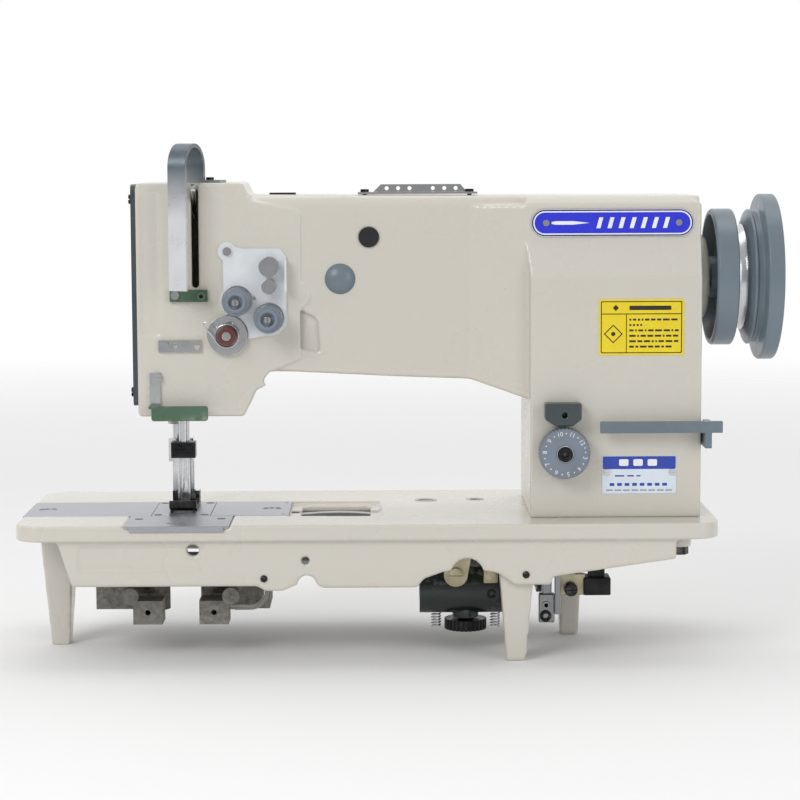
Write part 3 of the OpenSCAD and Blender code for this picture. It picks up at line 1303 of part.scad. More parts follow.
module dial_bracket() {
  z0 = dial_c[1] + dial_r;
  x = dial_c[0];
  color([0.24, 0.27, 0.29]) place() difference() {
    xz(column_y0 - 12, column_y0) polygon([[x - 14.5, z0 + 18], [x + 12.5, z0 + 18],
      [x + 12.5, z0 + 6], [x + 6, z0 + 1], [x - 6, z0 + 1], [x - 14.5, z0 + 6]]);
    ycyl(2, column_y0 - 13, column_y0 - 4, x, z0 + 9);
  }
}

// Bar across the column, on an arm that turns about a pivot in the column's right wall
module reverse_lever() {
  z1 = 73;
  y0 = column_y0 - 14;
  xa = column_x1 + 1;
  color([0.40, 0.46, 0.50]) place() union() {
    box(lever_x0, lever_x1, y0, y0 + 5, z1 - 8.5, z1);
    box(xa, xa + 5, y0, reverse_pivot[0] + 8, reverse_pivot[1] - 7, reverse_pivot[1] + 7);
    box(xa, xa + 5, y0, y0 + 16, reverse_pivot[1] - 7, z1);
    xcyl(reverse_r, column_x1 - 18, xa + 1, reverse_pivot[0], reverse_pivot[1]);
  }
}

// Stitch regulator under the bed: housing, slotted link, adjusting wheel and its springs
module regulator_housing() {
  color([0.12, 0.15, 0.13]) place() difference() {
    union() {
      xcyl(reg_r, reg_x0, reg_x1, reg_y, reg_z);
      xcyl(reg_r - 3, reg_x1 - eps, reg_x1 + 12, reg_y, reg_z - 3);
      box(reg_x0 + 4, reg_x1 - 4, reg_y - 8, reg_y + 8, reg_z, -bed_web);
      zcyl(10, reg_z - reg_r - 3, reg_z - 4, reg_wheel_x, reg_y);
    }
    xcyl(10, reg_x0 - 1, reg_x0 + 6, reg_y, reg_z);
    zcyl(4 + run_fit, reg_z - reg_r - 4, reg_z - 4, reg_wheel_x, reg_y);
    ycyl(4 + run_fit, reg_y - reg_r - 1, reg_y - 6, reg_x0 + 27, reg_z + 14);
  }
}

module regulator_link() {
  y0 = reg_y - reg_r - 6;
  color([0.70, 0.62, 0.48]) place() union() {
    hull() {
      ycyl(9, y0, y0 + 5, reg_x0 + 27, reg_z + 14, $fn = 32);
      ycyl(4, y0, y0 + 5, reg_x0 + 36, -bed_web - 16, $fn = 32);
    }
    ycyl(4, y0 + 4, reg_y - 7, reg_x0 + 27, reg_z + 14);
    face_screw(reg_x0 + 27, reg_z + 14, y0, 5.5, 3, 2);
  }
}

module regulator_wheel() {
  z = reg_z - reg_r - 3 - free_gap;
  color([0.07, 0.07, 0.08]) place() translate([reg_wheel_x, reg_y, 0]) {
    translate([0, 0, z - 9]) toothed(16, 1, 28, 8);
    translate([0, 0, z - 2]) cylinder(r = 6, h = 2);
    translate([0, 0, z - 1]) cylinder(r = 4, h = reg_r - 4);
  }
}

module regulator_springs() {
  color([0.75, 0.75, 0.74]) place() for (s = [-1, 1])
    translate([reg_wheel_x + s * 22.5, reg_y, reg_z - reg_r - 12]) coil(3.5, 3.5, 0.6, 5, 12, steps = 12);
}

// Clear tube that carries oil from one saddle to the bed's pump stub
module oil_tube() {
  r = 2;
  x0 = hook_xs[1] + 18;
  y = shaft_y - 34;
  z = -drive_z - 24;
  color([0.85, 0.84, 0.78]) place() union() {
    xcyl(1.6, x0 - 4, x0 + 1, y, z);
    xcyl(r, x0, x0 + 12, y, z);
    translate([x0 + 12, y, z + 12]) rotate([90, 0, 0]) rotate_extrude(angle = 90, start = 270)
      translate([12, 0]) circle(r = r);
    zcyl(r, z + 12, -bed_web, x0 + 24, y);
  }
}

// ---------- screws ----------

module screws() {
  color([0.30, 0.31, 0.33]) place() {
    for (p = needle_plate_screws) top_screw(p[0], p[1], -1.5, 3.2, 1.4, 8);
    for (p = cover_screws) top_screw(p[0], p[1], -1.5, 3.2, 1.4, 6);
    top_screw(right_plate_x1 + 4, shaft_y, 0.8 - spring_seat, 2.8, 1.2, 4);
    for (p = guide_screws) top_screw(p[0], p[1], arm_top + 1.5, 3.2, 2, 9);
    for (p = head_screws) face_screw(p[0], p[1], p[2], 3.2, 2, 6);
    for (p = skirt_screws) face_screw(p[0], p[1], front + skirt_inset, 2.6, 1, 6);
    for (p = name_pins) face_screw(p[0], p[1], upper_y0 - 0.9, 2.4, 1, 4);
    for (p = data_pins) face_screw(p[0], p[1], column_y0 - 0.6, 2.4, 1, 4);
    for (p = face_plate_screws) translate([head_x - 3.5, p[0], p[1]]) rotate([0, 0, -90])
      face_screw(0, 0, 0, 3.5, 2, 10);
    for (p = rear_cover_screws) translate([p[0], column_y1 + 2.5, p[1]]) rotate([0, 0, 180])
      face_screw(0, 0, 0, 3.5, 2, 8);
    for (p = arm_cover_screws) translate([p[0], arm_y1 + 2.5, p[1]]) rotate([0, 0, 180])
      face_screw(0, 0, 0, 3.5, 2, 6);
    for (p = column_bolts) {
      zcyl(4, -24.5, 11, p[0], p[1]);
      translate([p[0], p[1], -30]) cylinder(r = 7, h = 6, $fn = 6);
    }
    for (p = saddle_bolts) zcyl(3, -18, -plate_recess - 0.3, p[0], p[1]);
    // Guard's screw
    top_screw(guard_screw[0], guard_screw[1], head_top + 2, 3, 2, 6);
    // Presser bar's regulating screw
    top_screw(presser_x, presser_y, head_top - 3, presser_screw_r, 3, 0);
  }
}

// ---------- drawing ----------

bed_casting();
arm_casting();
face_plate();
rear_covers();
needle_plate();
left_slide_plate();
right_slide_plate();
front_cover_plate();
leaf_spring();
bed_plugs();
rubber_plugs();
dome_cap();
nameplates();
info_label();
arm_thread_guide();
take_up_guard();
head_thread_guides();
finger_guard();
tension_plate();
tension_posts();
tension_discs();
tension_springs();
upper_tension_knob();
lower_tension_knob();
check_spring_disc();
check_spring();
take_up_lever();
arm_shaft();
crank();
shaft_bushings();
handwheel();
belt_pulley();
upper_sprocket();
timing_belt();
hook_drive_shaft();
hook_drive_gears();
left_hook();
right_hook();
bobbin_cases();
hook_saddles();
needle_bar_frame();
needle_bar();
needle_clamp();
needles();
inner_foot();
presser_bar();
presser_foot();
presser_spring();
lifting_lever();
feed_dog();
feed_rock_shaft();
stitch_dial();
dial_bracket();
reverse_lever();
regulator_housing();
regulator_link();
regulator_wheel();
regulator_springs();
oil_tube();
screws();
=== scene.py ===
import json
import math

import bmesh
import bpy
from mathutils import Matrix, Vector

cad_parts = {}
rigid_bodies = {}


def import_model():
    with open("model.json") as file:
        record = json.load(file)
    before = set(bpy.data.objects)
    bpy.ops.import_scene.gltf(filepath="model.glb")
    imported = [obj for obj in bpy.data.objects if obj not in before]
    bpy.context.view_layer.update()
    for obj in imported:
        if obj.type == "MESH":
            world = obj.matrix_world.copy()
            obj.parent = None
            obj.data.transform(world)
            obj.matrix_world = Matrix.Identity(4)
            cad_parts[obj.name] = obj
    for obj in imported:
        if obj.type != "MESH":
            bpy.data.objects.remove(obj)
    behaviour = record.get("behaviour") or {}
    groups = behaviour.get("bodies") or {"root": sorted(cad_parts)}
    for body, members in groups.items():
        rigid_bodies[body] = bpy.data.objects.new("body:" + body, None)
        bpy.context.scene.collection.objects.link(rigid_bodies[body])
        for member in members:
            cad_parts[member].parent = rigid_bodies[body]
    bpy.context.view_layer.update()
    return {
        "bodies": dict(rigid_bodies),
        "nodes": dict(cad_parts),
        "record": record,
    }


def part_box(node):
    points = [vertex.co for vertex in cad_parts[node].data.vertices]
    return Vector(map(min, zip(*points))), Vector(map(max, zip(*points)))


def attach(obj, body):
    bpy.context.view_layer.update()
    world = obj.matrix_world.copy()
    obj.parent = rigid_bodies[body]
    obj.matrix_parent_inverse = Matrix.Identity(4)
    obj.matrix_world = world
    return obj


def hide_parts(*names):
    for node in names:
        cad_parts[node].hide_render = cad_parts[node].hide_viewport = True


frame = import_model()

MM = 0.001
NODE = frame["nodes"]
BODY_OF = {n: b for b, empty in frame["bodies"].items() for n, o in NODE.items() if o.parent is empty}
SLOT_OF = {s["node"]: s["material_slot"] for s in frame["record"]["subparts"]}

# ---------- places ----------
# Millimetres in the machine's own frame: X from the bed's left end, Y from the bed's centre line and
# Z from its top face. The operator sits on the -Y side.

BED_LO, BED_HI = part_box("bed_casting")

# Front faces of the tension plate, the column and the column's upper part
FACE_Y = -43.0
COLUMN_Y = -58.0
UPPER_Y = -50.0

# Centres (X, Z) of what turns on the front
KNOB_AT = {"upper_tension_knob": (163.2, 161.8), "lower_tension_knob": (186.7, 149.0)}
CHECK_AT = (155.5, 136.0)
DIAL_AT = (404.8, 49.6)

# Spans of the three plates (X from, X to, Z from, Z to)
LONG_PLATE = (381.0, 501.0, 208.3, 228.7)
DATA_PLATE = (433.5, 488.5, 17.8, 46.2)
LABEL = (430.5, 493.5, 121.0, 162.5)


def at(x, y, z):
    """A point of the machine's own frame as a place in the shared frame."""
    return Vector((BED_LO.x + x * MM, y * MM, BED_HI.z + z * MM))


# ---------- finishes ----------

# Bare metal that shows where paint and black oxide are rubbed off edges
UNDER_PAINT = (0.33, 0.34, 0.35, 1.0)
UNDER_OXIDE = (0.22, 0.21, 0.2, 1.0)

# A noise's texture stretched along one axis of the frame, which reads as grinding marks
GRAIN_ALONG = {"x": (30, 1500, 1500), "y": (1500, 30, 1500), "z": (1500, 1500, 30)}


def srgb(r, g, b):
    """A linear colour from 0 to 255 display values."""
    def one(v):
        v /= 255
        return v / 12.92 if v <= 0.04045 else ((v + 0.055) / 1.055) ** 2.4
    return (one(r), one(g), one(b), 1.0)


class Finish:
    """A node material under construction, with short names for the nodes it uses."""

    def __init__(self, name, colour, roughness, metallic=0.0, **sockets):
        self.material = bpy.data.materials.new(name)
        self.material.use_nodes = True
        self.tree = self.material.node_tree
        self.shader = self.tree.nodes["Principled BSDF"]
        self.point = self.tree.nodes.new("ShaderNodeTexCoord").outputs["Object"]
        self.set(**{"Base Color": colour, "Roughness": roughness, "Metallic": metallic})
        self.set(**sockets)

    def set(self, **sockets):
        """Sets or links the shader's own sockets."""
        for key, value in sockets.items():
            self.put(self.shader.inputs[key.replace("_", " ")], value)

    def put(self, socket, value):
        """Links another node's output to a socket, or writes a plain value there."""
        if isinstance(value, bpy.types.NodeSocket):
            self.tree.links.new(value, socket)
        else:
            socket.default_value = value

    def add(self, kind, settings=None, **sockets):
        node = self.tree.nodes.new("ShaderNode" + kind)
        for key, value in (settings or {}).items():
            setattr(node, key, value)
        for key, value in sockets.items():
            self.put(node.inputs[key.replace("_", " ")], value)
        return node

    def stretched(self, x, y, z):
        node = self.add("Mapping", Vector=self.point)
        node.inputs["Scale"].default_value = (x, y, z)
        return node.outputs["Vector"]

    def noise(self, scale, detail=2.0, vector=None, rough=0.5):
        return self.add("TexNoise", Vector=vector or self.point, Scale=scale, Detail=detail,
                        Roughness=rough).outputs["Fac"]

    def cells(self, scale, feature="F1"):
        node = self.add("TexVoronoi", {"feature": feature}, Vector=self.point, Scale=scale)
        return node.outputs["Distance"]

    def span(self, value, low, high, to_low=0.0, to_high=1.0):
        """A value between low and high, carried over to another range and held inside it."""
        node = self.add("MapRange", Value=value)
        for key, v in zip(("From Min", "From Max", "To Min", "To Max"), (low, high, to_low, to_high)):
            node.inputs[key].default_value = v
        return node.outputs["Result"]

    def sum(self, a, b, kind="ADD"):
        node = self.add("Math", {"operation": kind})
        self.put(node.inputs[0], a)
        self.put(node.inputs[1], b)
        return node.outputs["Value"]

    def blend(self, share, a, b):
        node = self.add("Mix", {"data_type": "RGBA"})
        self.put(node.inputs["Factor"], share)
        self.put(node.inputs[6], a)
        self.put(node.inputs[7], b)
        return node.outputs[2]

    def bump(self, height, distance, strength=1.0, under=None):
        node = self.add("Bump", Height=height, Distance=distance, Strength=strength)
        if under is not None:
            self.put(node.inputs["Normal"], under)
        return node.outputs["Normal"]

    def edges(self, low, high):
        """1 on convex edges and 0 on flats."""
        return self.span(self.add("NewGeometry").outputs["Pointiness"], low, high)


def shade(colour, factor):
    """The colour made darker or lighter."""
    return tuple(c * factor for c in colour[:3]) + (1.0,)


def enamel_paint(name, colour, roughness=0.28, peel=0.00013):
    """Thick gloss enamel over a casting, with orange peel, fine cells and a few dark specks."""
    f = Finish(name, colour, roughness, Coat_Weight=0.3, Coat_Roughness=0.12, Specular_IOR_Level=0.5)
    hue = f.blend(f.span(f.noise(5, 2), 0.35, 0.65), shade(colour, 0.985), shade(colour, 1.01))
    specks = f.span(f.cells(90), 0.03, 0.05, 0.5, 0.0)
    scattered = f.sum(specks, f.span(f.noise(24, 2), 0.5, 0.62), "MULTIPLY")
    hue = f.blend(scattered, hue, shade(colour, 0.4))
    f.set(Base_Color=hue, Roughness=f.span(f.noise(20, 2), 0.3, 0.7, roughness - 0.03, roughness + 0.04))
    wave = f.bump(f.noise(130, 1), peel * 2, 0.5)
    fine = f.bump(f.noise(430, 2), peel, 0.7, wave)
    f.set(Normal=f.bump(f.cells(300, "SMOOTH_F1"), peel, 0.5, fine))
    return f.material


def machine_paint(name, colour, roughness=0.34):
    """Sprayed paint on turned or bent metal, rubbed a little brighter along its edges."""
    f = Finish(name, colour, roughness, Specular_IOR_Level=0.5, Coat_Weight=0.2, Coat_Roughness=0.2)
    hue = f.blend(f.span(f.noise(14, 4), 0.35, 0.65), shade(colour, 0.92), shade(colour, 1.06))
    rub = f.sum(f.edges(0.56, 0.64), f.span(f.noise(180, 3), 0.45, 0.62), "MULTIPLY")
    f.set(Base_Color=f.blend(f.sum(rub, 0.5, "MULTIPLY"), hue, UNDER_PAINT))
    f.set(Roughness=f.span(f.noise(60, 4), 0.3, 0.7, roughness - 0.06, roughness + 0.1))
    f.set(Normal=f.bump(f.noise(700, 2), 0.00008, 0.5))
    return f.material


def ground_steel(name, colour, roughness, along="x", scratch=0.00002, metallic=1.0):
    """Steel ground or brushed along one axis, with faint scratches and handling marks."""
    f = Finish(name, colour, roughness, metallic)
    grain = f.noise(1.0, 3, f.stretched(*GRAIN_ALONG[along]))
    stain = f.noise(30, 4)
    f.set(Base_Color=f.blend(f.span(stain, 0.3, 0.7), shade(colour, 0.88), shade(colour, 1.05)))
    marked = f.span(stain, 0.3, 0.7, roughness - 0.03, roughness + 0.06)
    f.set(Roughness=f.sum(f.span(grain, 0.3, 0.7, -0.07, 0.07), marked))
    f.set(Normal=f.bump(grain, scratch, 0.7))
    return f.material


def plated(name, colour, roughness):
    """Bright plating with fine smudges."""
    f = Finish(name, colour, roughness, 1.0)
    smudge = f.noise(85, 5)
    f.set(Base_Color=f.blend(f.span(smudge, 0.35, 0.7), colour, shade(colour, 0.86)))
    f.set(Roughness=f.span(smudge, 0.35, 0.75, roughness * 0.8, roughness * 1.7))
    f.set(Normal=f.bump(f.noise(500, 2), 0.00001, 0.4))
    return f.material


def blackened(name, colour, roughness=0.38):
    """Black oxide or dark phosphate on steel, worn to bare metal on its edges."""
    f = Finish(name, colour, roughness, 0.75)
    hue = f.blend(f.span(f.noise(120, 4), 0.35, 0.65), shade(colour, 0.7), shade(colour, 1.35))
    rub = f.sum(f.edges(0.55, 0.66), f.span(f.noise(260, 3), 0.4, 0.6), "MULTIPLY")
    f.set(Base_Color=f.blend(f.sum(rub, 0.75, "MULTIPLY"), hue, UNDER_OXIDE))
    f.set(Roughness=f.span(f.noise(150, 4), 0.3, 0.7, roughness - 0.08, roughness + 0.12))
    f.set(Normal=f.bump(f.noise(900, 3), 0.00004, 0.5))
    return f.material


def sand_casting(name, colour, roughness=0.62, metallic=0.3, grain=0.00035):
    """Bare or thinly painted casting skin."""
    f = Finish(name, colour, roughness, metallic)
    coarse = f.noise(260, 5, rough=0.7)
    dark = f.blend(f.span(coarse, 0.3, 0.62), shade(colour, 0.45), shade(colour, 1.25))
    f.set(Base_Color=f.blend(f.span(f.noise(20, 3), 0.4, 0.7), dark, shade(colour, 0.8)))
    f.set(Roughness=f.span(coarse, 0.3, 0.7, roughness + 0.15, roughness - 0.12))
    f.set(Normal=f.bump(coarse, grain, 0.8, f.bump(f.noise(70, 2), grain, 0.4)))
    return f.material


def moulded(name, colour, roughness=0.42, grain=0.00003):
    """Moulded plastic or rubber with a fine spark-eroded grain."""
    f = Finish(name, colour, roughness, Specular_IOR_Level=0.45)
    f.set(Base_Color=f.blend(f.span(f.noise(45, 4), 0.35, 0.7), shade(colour, 0.9), shade(colour, 1.08)))
    f.set(Roughness=f.span(f.noise(110, 4), 0.3, 0.7, roughness - 0.05, roughness + 0.1))
    f.set(Normal=f.bump(f.noise(1800, 2), grain, 0.6))
    return f.material


def printed(name, colour, roughness=0.22):
    """Printed film or enamelled plate."""
    f = Finish(name, colour, roughness, Coat_Weight=0.4, Coat_Roughness=0.08)
    f.set(Base_Color=f.blend(f.span(f.noise(60, 4), 0.3, 0.75), shade(colour, 0.95), shade(colour, 1.04)))
    f.set(Roughness=f.span(f.noise(140, 3), 0.3, 0.7, roughness - 0.05, roughness + 0.08))
    f.set(Normal=f.bump(f.noise(220, 2), 0.00003, 0.4))
    return f.material


def clear_plastic(name):
    """Clear tube, slightly yellowed."""
    f = Finish(name, srgb(222, 224, 214), 0.12, Transmission_Weight=0.75, IOR=1.42)
    f.set(Roughness=f.span(f.noise(90, 3), 0.3, 0.7, 0.08, 0.22))
    f.set(Normal=f.bump(f.noise(300, 2), 0.00003, 0.4))
    return f.material


def strap_steel_with_painted_reflection(name, painted_reflection_dark_above, painted_reflection_bright_below):
    """Bright strap with a painted reflection: its colour turns from bright below to dark above, between two
    heights in the frame, standing in for the dark reflection at its bend.
    """
    # Colours of the painted reflection: the strap's own bright steel, and the dark that its bend mirrors
    bright, dark = srgb(222, 223, 225), srgb(98, 108, 115)
    f = Finish(name, bright, 0.3, 0.35)
    height = f.add("SeparateXYZ", Vector=f.point).outputs["Z"]
    # Painted reflection: the colour darkens with height towards the bend instead of the bend mirroring the
    # dark
    painted_reflection_tone = f.blend(f.span(height, painted_reflection_bright_below, painted_reflection_dark_above), bright, dark)
    specks = f.span(f.cells(400), 0.03, 0.06, 0.6, 0.0)
    f.set(Base_Color=f.blend(specks, painted_reflection_tone, srgb(120, 120, 122)))
    f.set(Roughness=f.span(f.noise(90, 3), 0.3, 0.7, 0.24, 0.38))
    f.set(Normal=f.bump(f.noise(300, 2), 0.00004, 0.5))
    return f.material


PAINT = {
    "enamel": enamel_paint("warm_grey_enamel", srgb(206, 202, 192)),
    "dark_cover": machine_paint("dark_cover_paint", srgb(62, 72, 75), 0.3),
    "satin_steel": ground_steel("satin_plate_steel", srgb(178, 180, 186), 0.36, "x"),
    "chrome_plate": plated("bright_plate", srgb(214, 215, 217), 0.16),
    "steel": ground_steel("turned_steel", srgb(150, 151, 154), 0.3, "y"),
    "hook_steel": plated("polished_hook_steel", srgb(196, 196, 199), 0.18),
    "blue_grey_paint": machine_paint("blue_grey_paint", srgb(108, 121, 131)),
    "bright_aluminium": ground_steel("bright_aluminium", srgb(208, 208, 210), 0.22, "z"),
    "dial_plastic": moulded("dial_plastic", srgb(120, 129, 142), 0.45),
    "black_oxide": blackened("black_oxide", srgb(40, 40, 42)),
    "green_guard": machine_paint("green_guard_paint", srgb(72, 102, 78), 0.3),
    "black_rubber": moulded("black_rubber", srgb(26, 27, 30), 0.6, 0.00006),
    "nameplate": printed("nameplate_blue", srgb(43, 51, 214)),
    "label": printed("label_yellow", srgb(236, 212, 40)),
    "bed_plug_grey": moulded("bed_plug_grey", srgb(172, 172, 166), 0.4),
    "raw_casting": sand_casting("raw_casting", srgb(138, 136, 130)),
    "dark_green_casting": machine_paint("dark_green_casting", srgb(32, 42, 37), 0.28),
    "zinc_plate": plated("zinc_plate", srgb(176, 168, 140), 0.3),
    "bronze": ground_steel("sintered_bronze", srgb(190, 150, 95), 0.4, "y"),
    "clear_tube": clear_plastic("clear_tube"),
}

# ---------- meshes ----------

# Points nearer than this are one point, and faces that differ by less than this angle are one face
WELD = 2e-6
FLAT = math.radians(0.6)


def welded(node):
    """A copy of a CAD node's mesh as a bmesh, joined along its seams and with each flat face made one."""
    bm = bmesh.new()
    bm.from_mesh(NODE[node].data)
    bmesh.ops.remove_doubles(bm, verts=bm.verts, dist=WELD)
    bmesh.ops.dissolve_limit(bm, angle_limit=FLAT, verts=bm.verts, edges=bm.edges)
    return bm


def soften(bm, width, steps=2, angle=30):
    """Rounds every edge sharper than the angle."""
    limit = math.radians(angle)
    sharp = [e for e in bm.edges if len(e.link_faces) == 2 and e.calc_face_angle(0) > limit]
    bmesh.ops.bevel(bm, geom=sharp, offset=width, offset_type="OFFSET", segments=steps, profile=0.5,
                    affect="EDGES", clamp_overlap=True)


def finish_mesh(name, bm, material, angle=40):
    """The bmesh as an object, smooth but for edges sharper than the angle."""
    mesh = bpy.data.meshes.new(name)
    bm.to_mesh(mesh)
    bm.free()
    mesh.shade_smooth()
    mesh.set_sharp_from_angle(angle=math.radians(angle))
    mesh.materials.clear()
    mesh.materials.append(material)
    ob = bpy.data.objects.new(name, mesh)
    bpy.context.scene.collection.objects.link(ob)
    return ob


def settle(ob, node=None, body=None):
    """Hangs a piece on the body it rides on, and hides the CAD node it stands for."""
    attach(ob, body or BODY_OF[node])
    if node:
        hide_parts(node)
    return ob


def dress(node, width, material=None):
    """The CAD node again, with rounded edges and its finish."""
    bm = welded(node)
    soften(bm, width * MM)
    ob = finish_mesh(node + "_piece", bm, material or PAINT[SLOT_OF[node]])
    even_normals(ob)
    return settle(ob, node)


def cast(node, voxel, smoothing):
    """The CAD node as a casting: every edge and corner is blended as in a sand mould."""
    raw = bpy.data.objects.new(node + "_raw", NODE[node].data.copy())
    bpy.context.scene.collection.objects.link(raw)
    grid = raw.modifiers.new("grid", "REMESH")
    grid.mode = "VOXEL"
    grid.voxel_size = voxel * MM
    soft = raw.modifiers.new("soft", "SMOOTH")
    soft.factor = 0.5
    soft.iterations = smoothing
    mesh = bpy.data.meshes.new_from_object(raw.evaluated_get(bpy.context.evaluated_depsgraph_get()))
    bpy.data.objects.remove(raw)
    mesh.shade_smooth()
    mesh.materials.clear()
    mesh.materials.append(PAINT[SLOT_OF[node]])
    ob = bpy.data.objects.new(node + "_piece", mesh)
    bpy.context.scene.collection.objects.link(ob)
    return settle(ob, node)


def even_normals(ob):
    """Lets each flat face keep its own shading beside its rounded edges."""
    normals = ob.modifiers.new("even_normals", "WEIGHTED_NORMAL")
    normals.keep_sharp = True
    normals.weight = 80


def build(name, material, make, node=None, body=None, angle=40):
    """A piece whose mesh is written by make(bm)."""
    bm = bmesh.new()
    make(bm)
    bmesh.ops.recalc_face_normals(bm, faces=bm.faces)
    ob = finish_mesh(name, bm, material, angle)
    even_normals(ob)
    return settle(ob, node, body)


def paint_part(ob, chosen, material):
    """Gives the faces whose centre passes the test a second finish."""
    ob.data.materials.append(material)
    last = len(ob.data.materials) - 1
    for face in ob.data.polygons:
        if chosen(face.center):
            face.material_index = last


def within(x0, x1, y0, y1, z0, z1):
    """A test of whether a place is inside a box of the machine's own frame."""
    lo, hi = at(x0, y0, z0), at(x1, y1, z1)
    return lambda c: all(a <= v <= b for a, v, b in zip(lo, c, hi))


def eased(profile, cut):
    """Cuts each inner corner of a profile by a small chamfer."""
    points = [Vector(p[:2]) for p in profile]
    out = [profile[0]]
    for a, b, c, row in zip(points, points[1:], points[2:], profile[1:]):
        for other in (a, c):
            step = min(cut, (other - b).length * 0.45)
            q = b + (other - b).normalized() * step
            out.append((q.x, q.y, *row[2:]))
    return out + [profile[-1]]


def bridge(bm, loops, closed=False):
    """Walls between loops of as many points each, and from the last back to the first if closed."""
    count = len(loops[0])
    for a, b in zip(loops, loops[1:] + (loops[:1] if closed else [])):
        for i in range(count):
            j = (i + 1) % count
            bm.faces.new((a[i], a[j], b[j], b[i]))


def lathe(bm, spot, profile, segments=96, teeth=0, depth=0.0):
    """Turns rows of (radius, distance forward, how far the teeth are cut) about an axis towards -Y."""
    rings = []
    for radius, forward, *cut in profile:
        ring = []
        for i in range(1 if radius < 1e-6 else segments):
            turn = 2 * math.pi * i / segments
            r = radius - (depth * cut[0] * (0.5 + 0.5 * math.cos(teeth * turn)) if cut else 0)
            local = Vector((r * math.cos(turn), -forward, r * math.sin(turn)))
            ring.append(bm.verts.new(spot + local * MM))
        rings.append(ring)
    for a, b in zip(rings, rings[1:]):
        for i in range(segments):
            j = (i + 1) % segments
            corners = [a[i % len(a)], a[j % len(a)], b[j % len(b)], b[i % len(b)]]
            face = list(dict.fromkeys(corners))
            if len(face) > 2:
                bm.faces.new(face)


def tube(bm, points, radius, sides=10):
    """A round wire along a run of points in metres."""
    rings = []
    side = None
    for i, p in enumerate(points):
        ahead = (points[min(i + 1, len(points) - 1)] - points[max(i - 1, 0)]).normalized()
        side = ahead.orthogonal() if side is None else side - ahead * side.dot(ahead)
        side.normalize()
        up = ahead.cross(side)
        rings.append([bm.verts.new(p + (side * math.cos(a) + up * math.sin(a)) * radius)
                      for a in (2 * math.pi * k / sides for k in range(sides))])
    bridge(bm, rings)
    bm.faces.new(rings[0][::-1])
    bm.faces.new(rings[-1])


def rounded_box(x0, x1, z0, z1, r, steps=10):
    """Outline of a rectangle with round corners, in millimetres."""
    out = []
    corners = ((x1 - r, z1 - r, 0), (x0 + r, z1 - r, 90), (x0 + r, z0 + r, 180), (x1 - r, z0 + r, 270))
    for cx, cz, first in corners:
        for k in range(steps + 1):
            a = math.radians(first + 90 * k / steps)
            out.append((cx + r * math.cos(a), cz + r * math.sin(a)))
    return out


def plate(bm, outline, y_back, y_front, edge=0.15):
    """A thin sheet facing the operator, with its front edge eased."""
    mid = Vector((sum(p[0] for p in outline), sum(p[1] for p in outline))) / len(outline)
    rows = []
    for y, inset in ((y_back, 0.0), (y_front + edge, 0.0), (y_front, edge)):
        row = []
        for x, z in outline:
            pull = (mid - Vector((x, z)))
            pull = pull * (inset / pull.length)
            row.append(bm.verts.new(at(x + pull.x, y, z + pull.y)))
        rows.append(row)
    bridge(bm, rows)
    bm.faces.new(rows[0][::-1])
    bm.faces.new(rows[-1])


def rim(bm, outer, inner, y_back, y_front):
    """A flat frame between two outlines of as many points each."""
    loops = [[bm.verts.new(at(x, y, z)) for x, z in line]
             for line, y in ((outer, y_back), (outer, y_front), (inner, y_front), (inner, y_back))]
    bridge(bm, loops, closed=True)


def block(bm, x0, x1, y0, y1, z0, z1, edge):
    """A box with its edges rounded."""
    made = bmesh.ops.create_cube(bm, size=1.0)["verts"]
    lo, hi = at(x0, y0, z0), at(x1, y1, z1)
    for v in made:
        v.co = Vector((lo[k] + (v.co[k] + 0.5) * (hi[k] - lo[k]) for k in range(3)))
    edges = list({e for v in made for e in v.link_edges})
    bmesh.ops.bevel(bm, geom=edges, offset=edge * MM, segments=3, profile=0.5, affect="EDGES")


def slotted_screw(bm, x, y, z, r, head):
    """A cheese-head screw facing the operator: two half heads on a disc, with the slot between them."""
    disc = head * 0.55
    lathe(bm, at(x, y, z), eased([(0, -0.2), (r, -0.2), (r, disc), (0, disc)], 0.2), 48)
    arc = [math.radians(12 + 156 * k / 24) for k in range(25)]
    for side in (-1, 1):
        rows = [[bm.verts.new(at(x + r * math.cos(a) * k, y - f, z + side * r * math.sin(a) * k))
                 for a in arc]
                for f, k in ((head * 0.5, 1.0), (head * 0.88, 1.0), (head, 0.93))]
        bridge(bm, rows)
        bm.faces.new(rows[-1])


def socket_screw(bm, spot, back, front, r, socket_r, lip, depth, ease, segments=48):
    """A cap screw facing the operator, with a six-sided socket; lip is how deep its chamfer goes."""
    lathe(bm, spot, eased([(0, back), (r, back), (r, front), (socket_r, front)], ease), segments)
    wall_r = socket_r - 0.2
    floor_at = front - depth
    lathe(bm, spot, [(socket_r, front), (wall_r, front - lip), (wall_r, floor_at), (0, floor_at)], 6)


# ---------- the machine ----------

WHITE_INK = printed("white_ink", srgb(238, 240, 244), 0.3)
NAVY_EDGE = printed("navy_edge", srgb(16, 18, 110), 0.25)
BLACK_INK = printed("black_ink", srgb(38, 34, 20), 0.35)
PALE_PLATE = printed("pale_plate", srgb(218, 228, 238), 0.2)
BAND_BLUE = printed("band_blue", srgb(30, 62, 170), 0.25)
BROWN_PLASTIC = moulded("brown_plastic", srgb(104, 56, 50), 0.35)
DIAL_WHITE = moulded("dial_white", srgb(226, 228, 230), 0.5)
GREY_INK = printed("grey_ink", srgb(150, 158, 172), 0.4)

# Voxel size in millimetres and smoothing passes of each casting
CAST = {"arm_casting": (1.4, 5), "bed_casting": (1.4, 4)}
# Width in millimetres of the rounding on a piece's edges, where it isn't the usual one
USUAL_EDGE = 0.25
EDGE = {"handwheel": 0.4, "take_up_guard": 0.7, "reverse_lever": 0.7, "rear_covers": 0.7, "face_plate": 0.8,
        "hook_saddles": 1.0, "regulator_housing": 0.8, "dial_bracket": 1.2,
        "needle_bar_frame": 0.6, "screws": 0.2, "needles": 0.05}


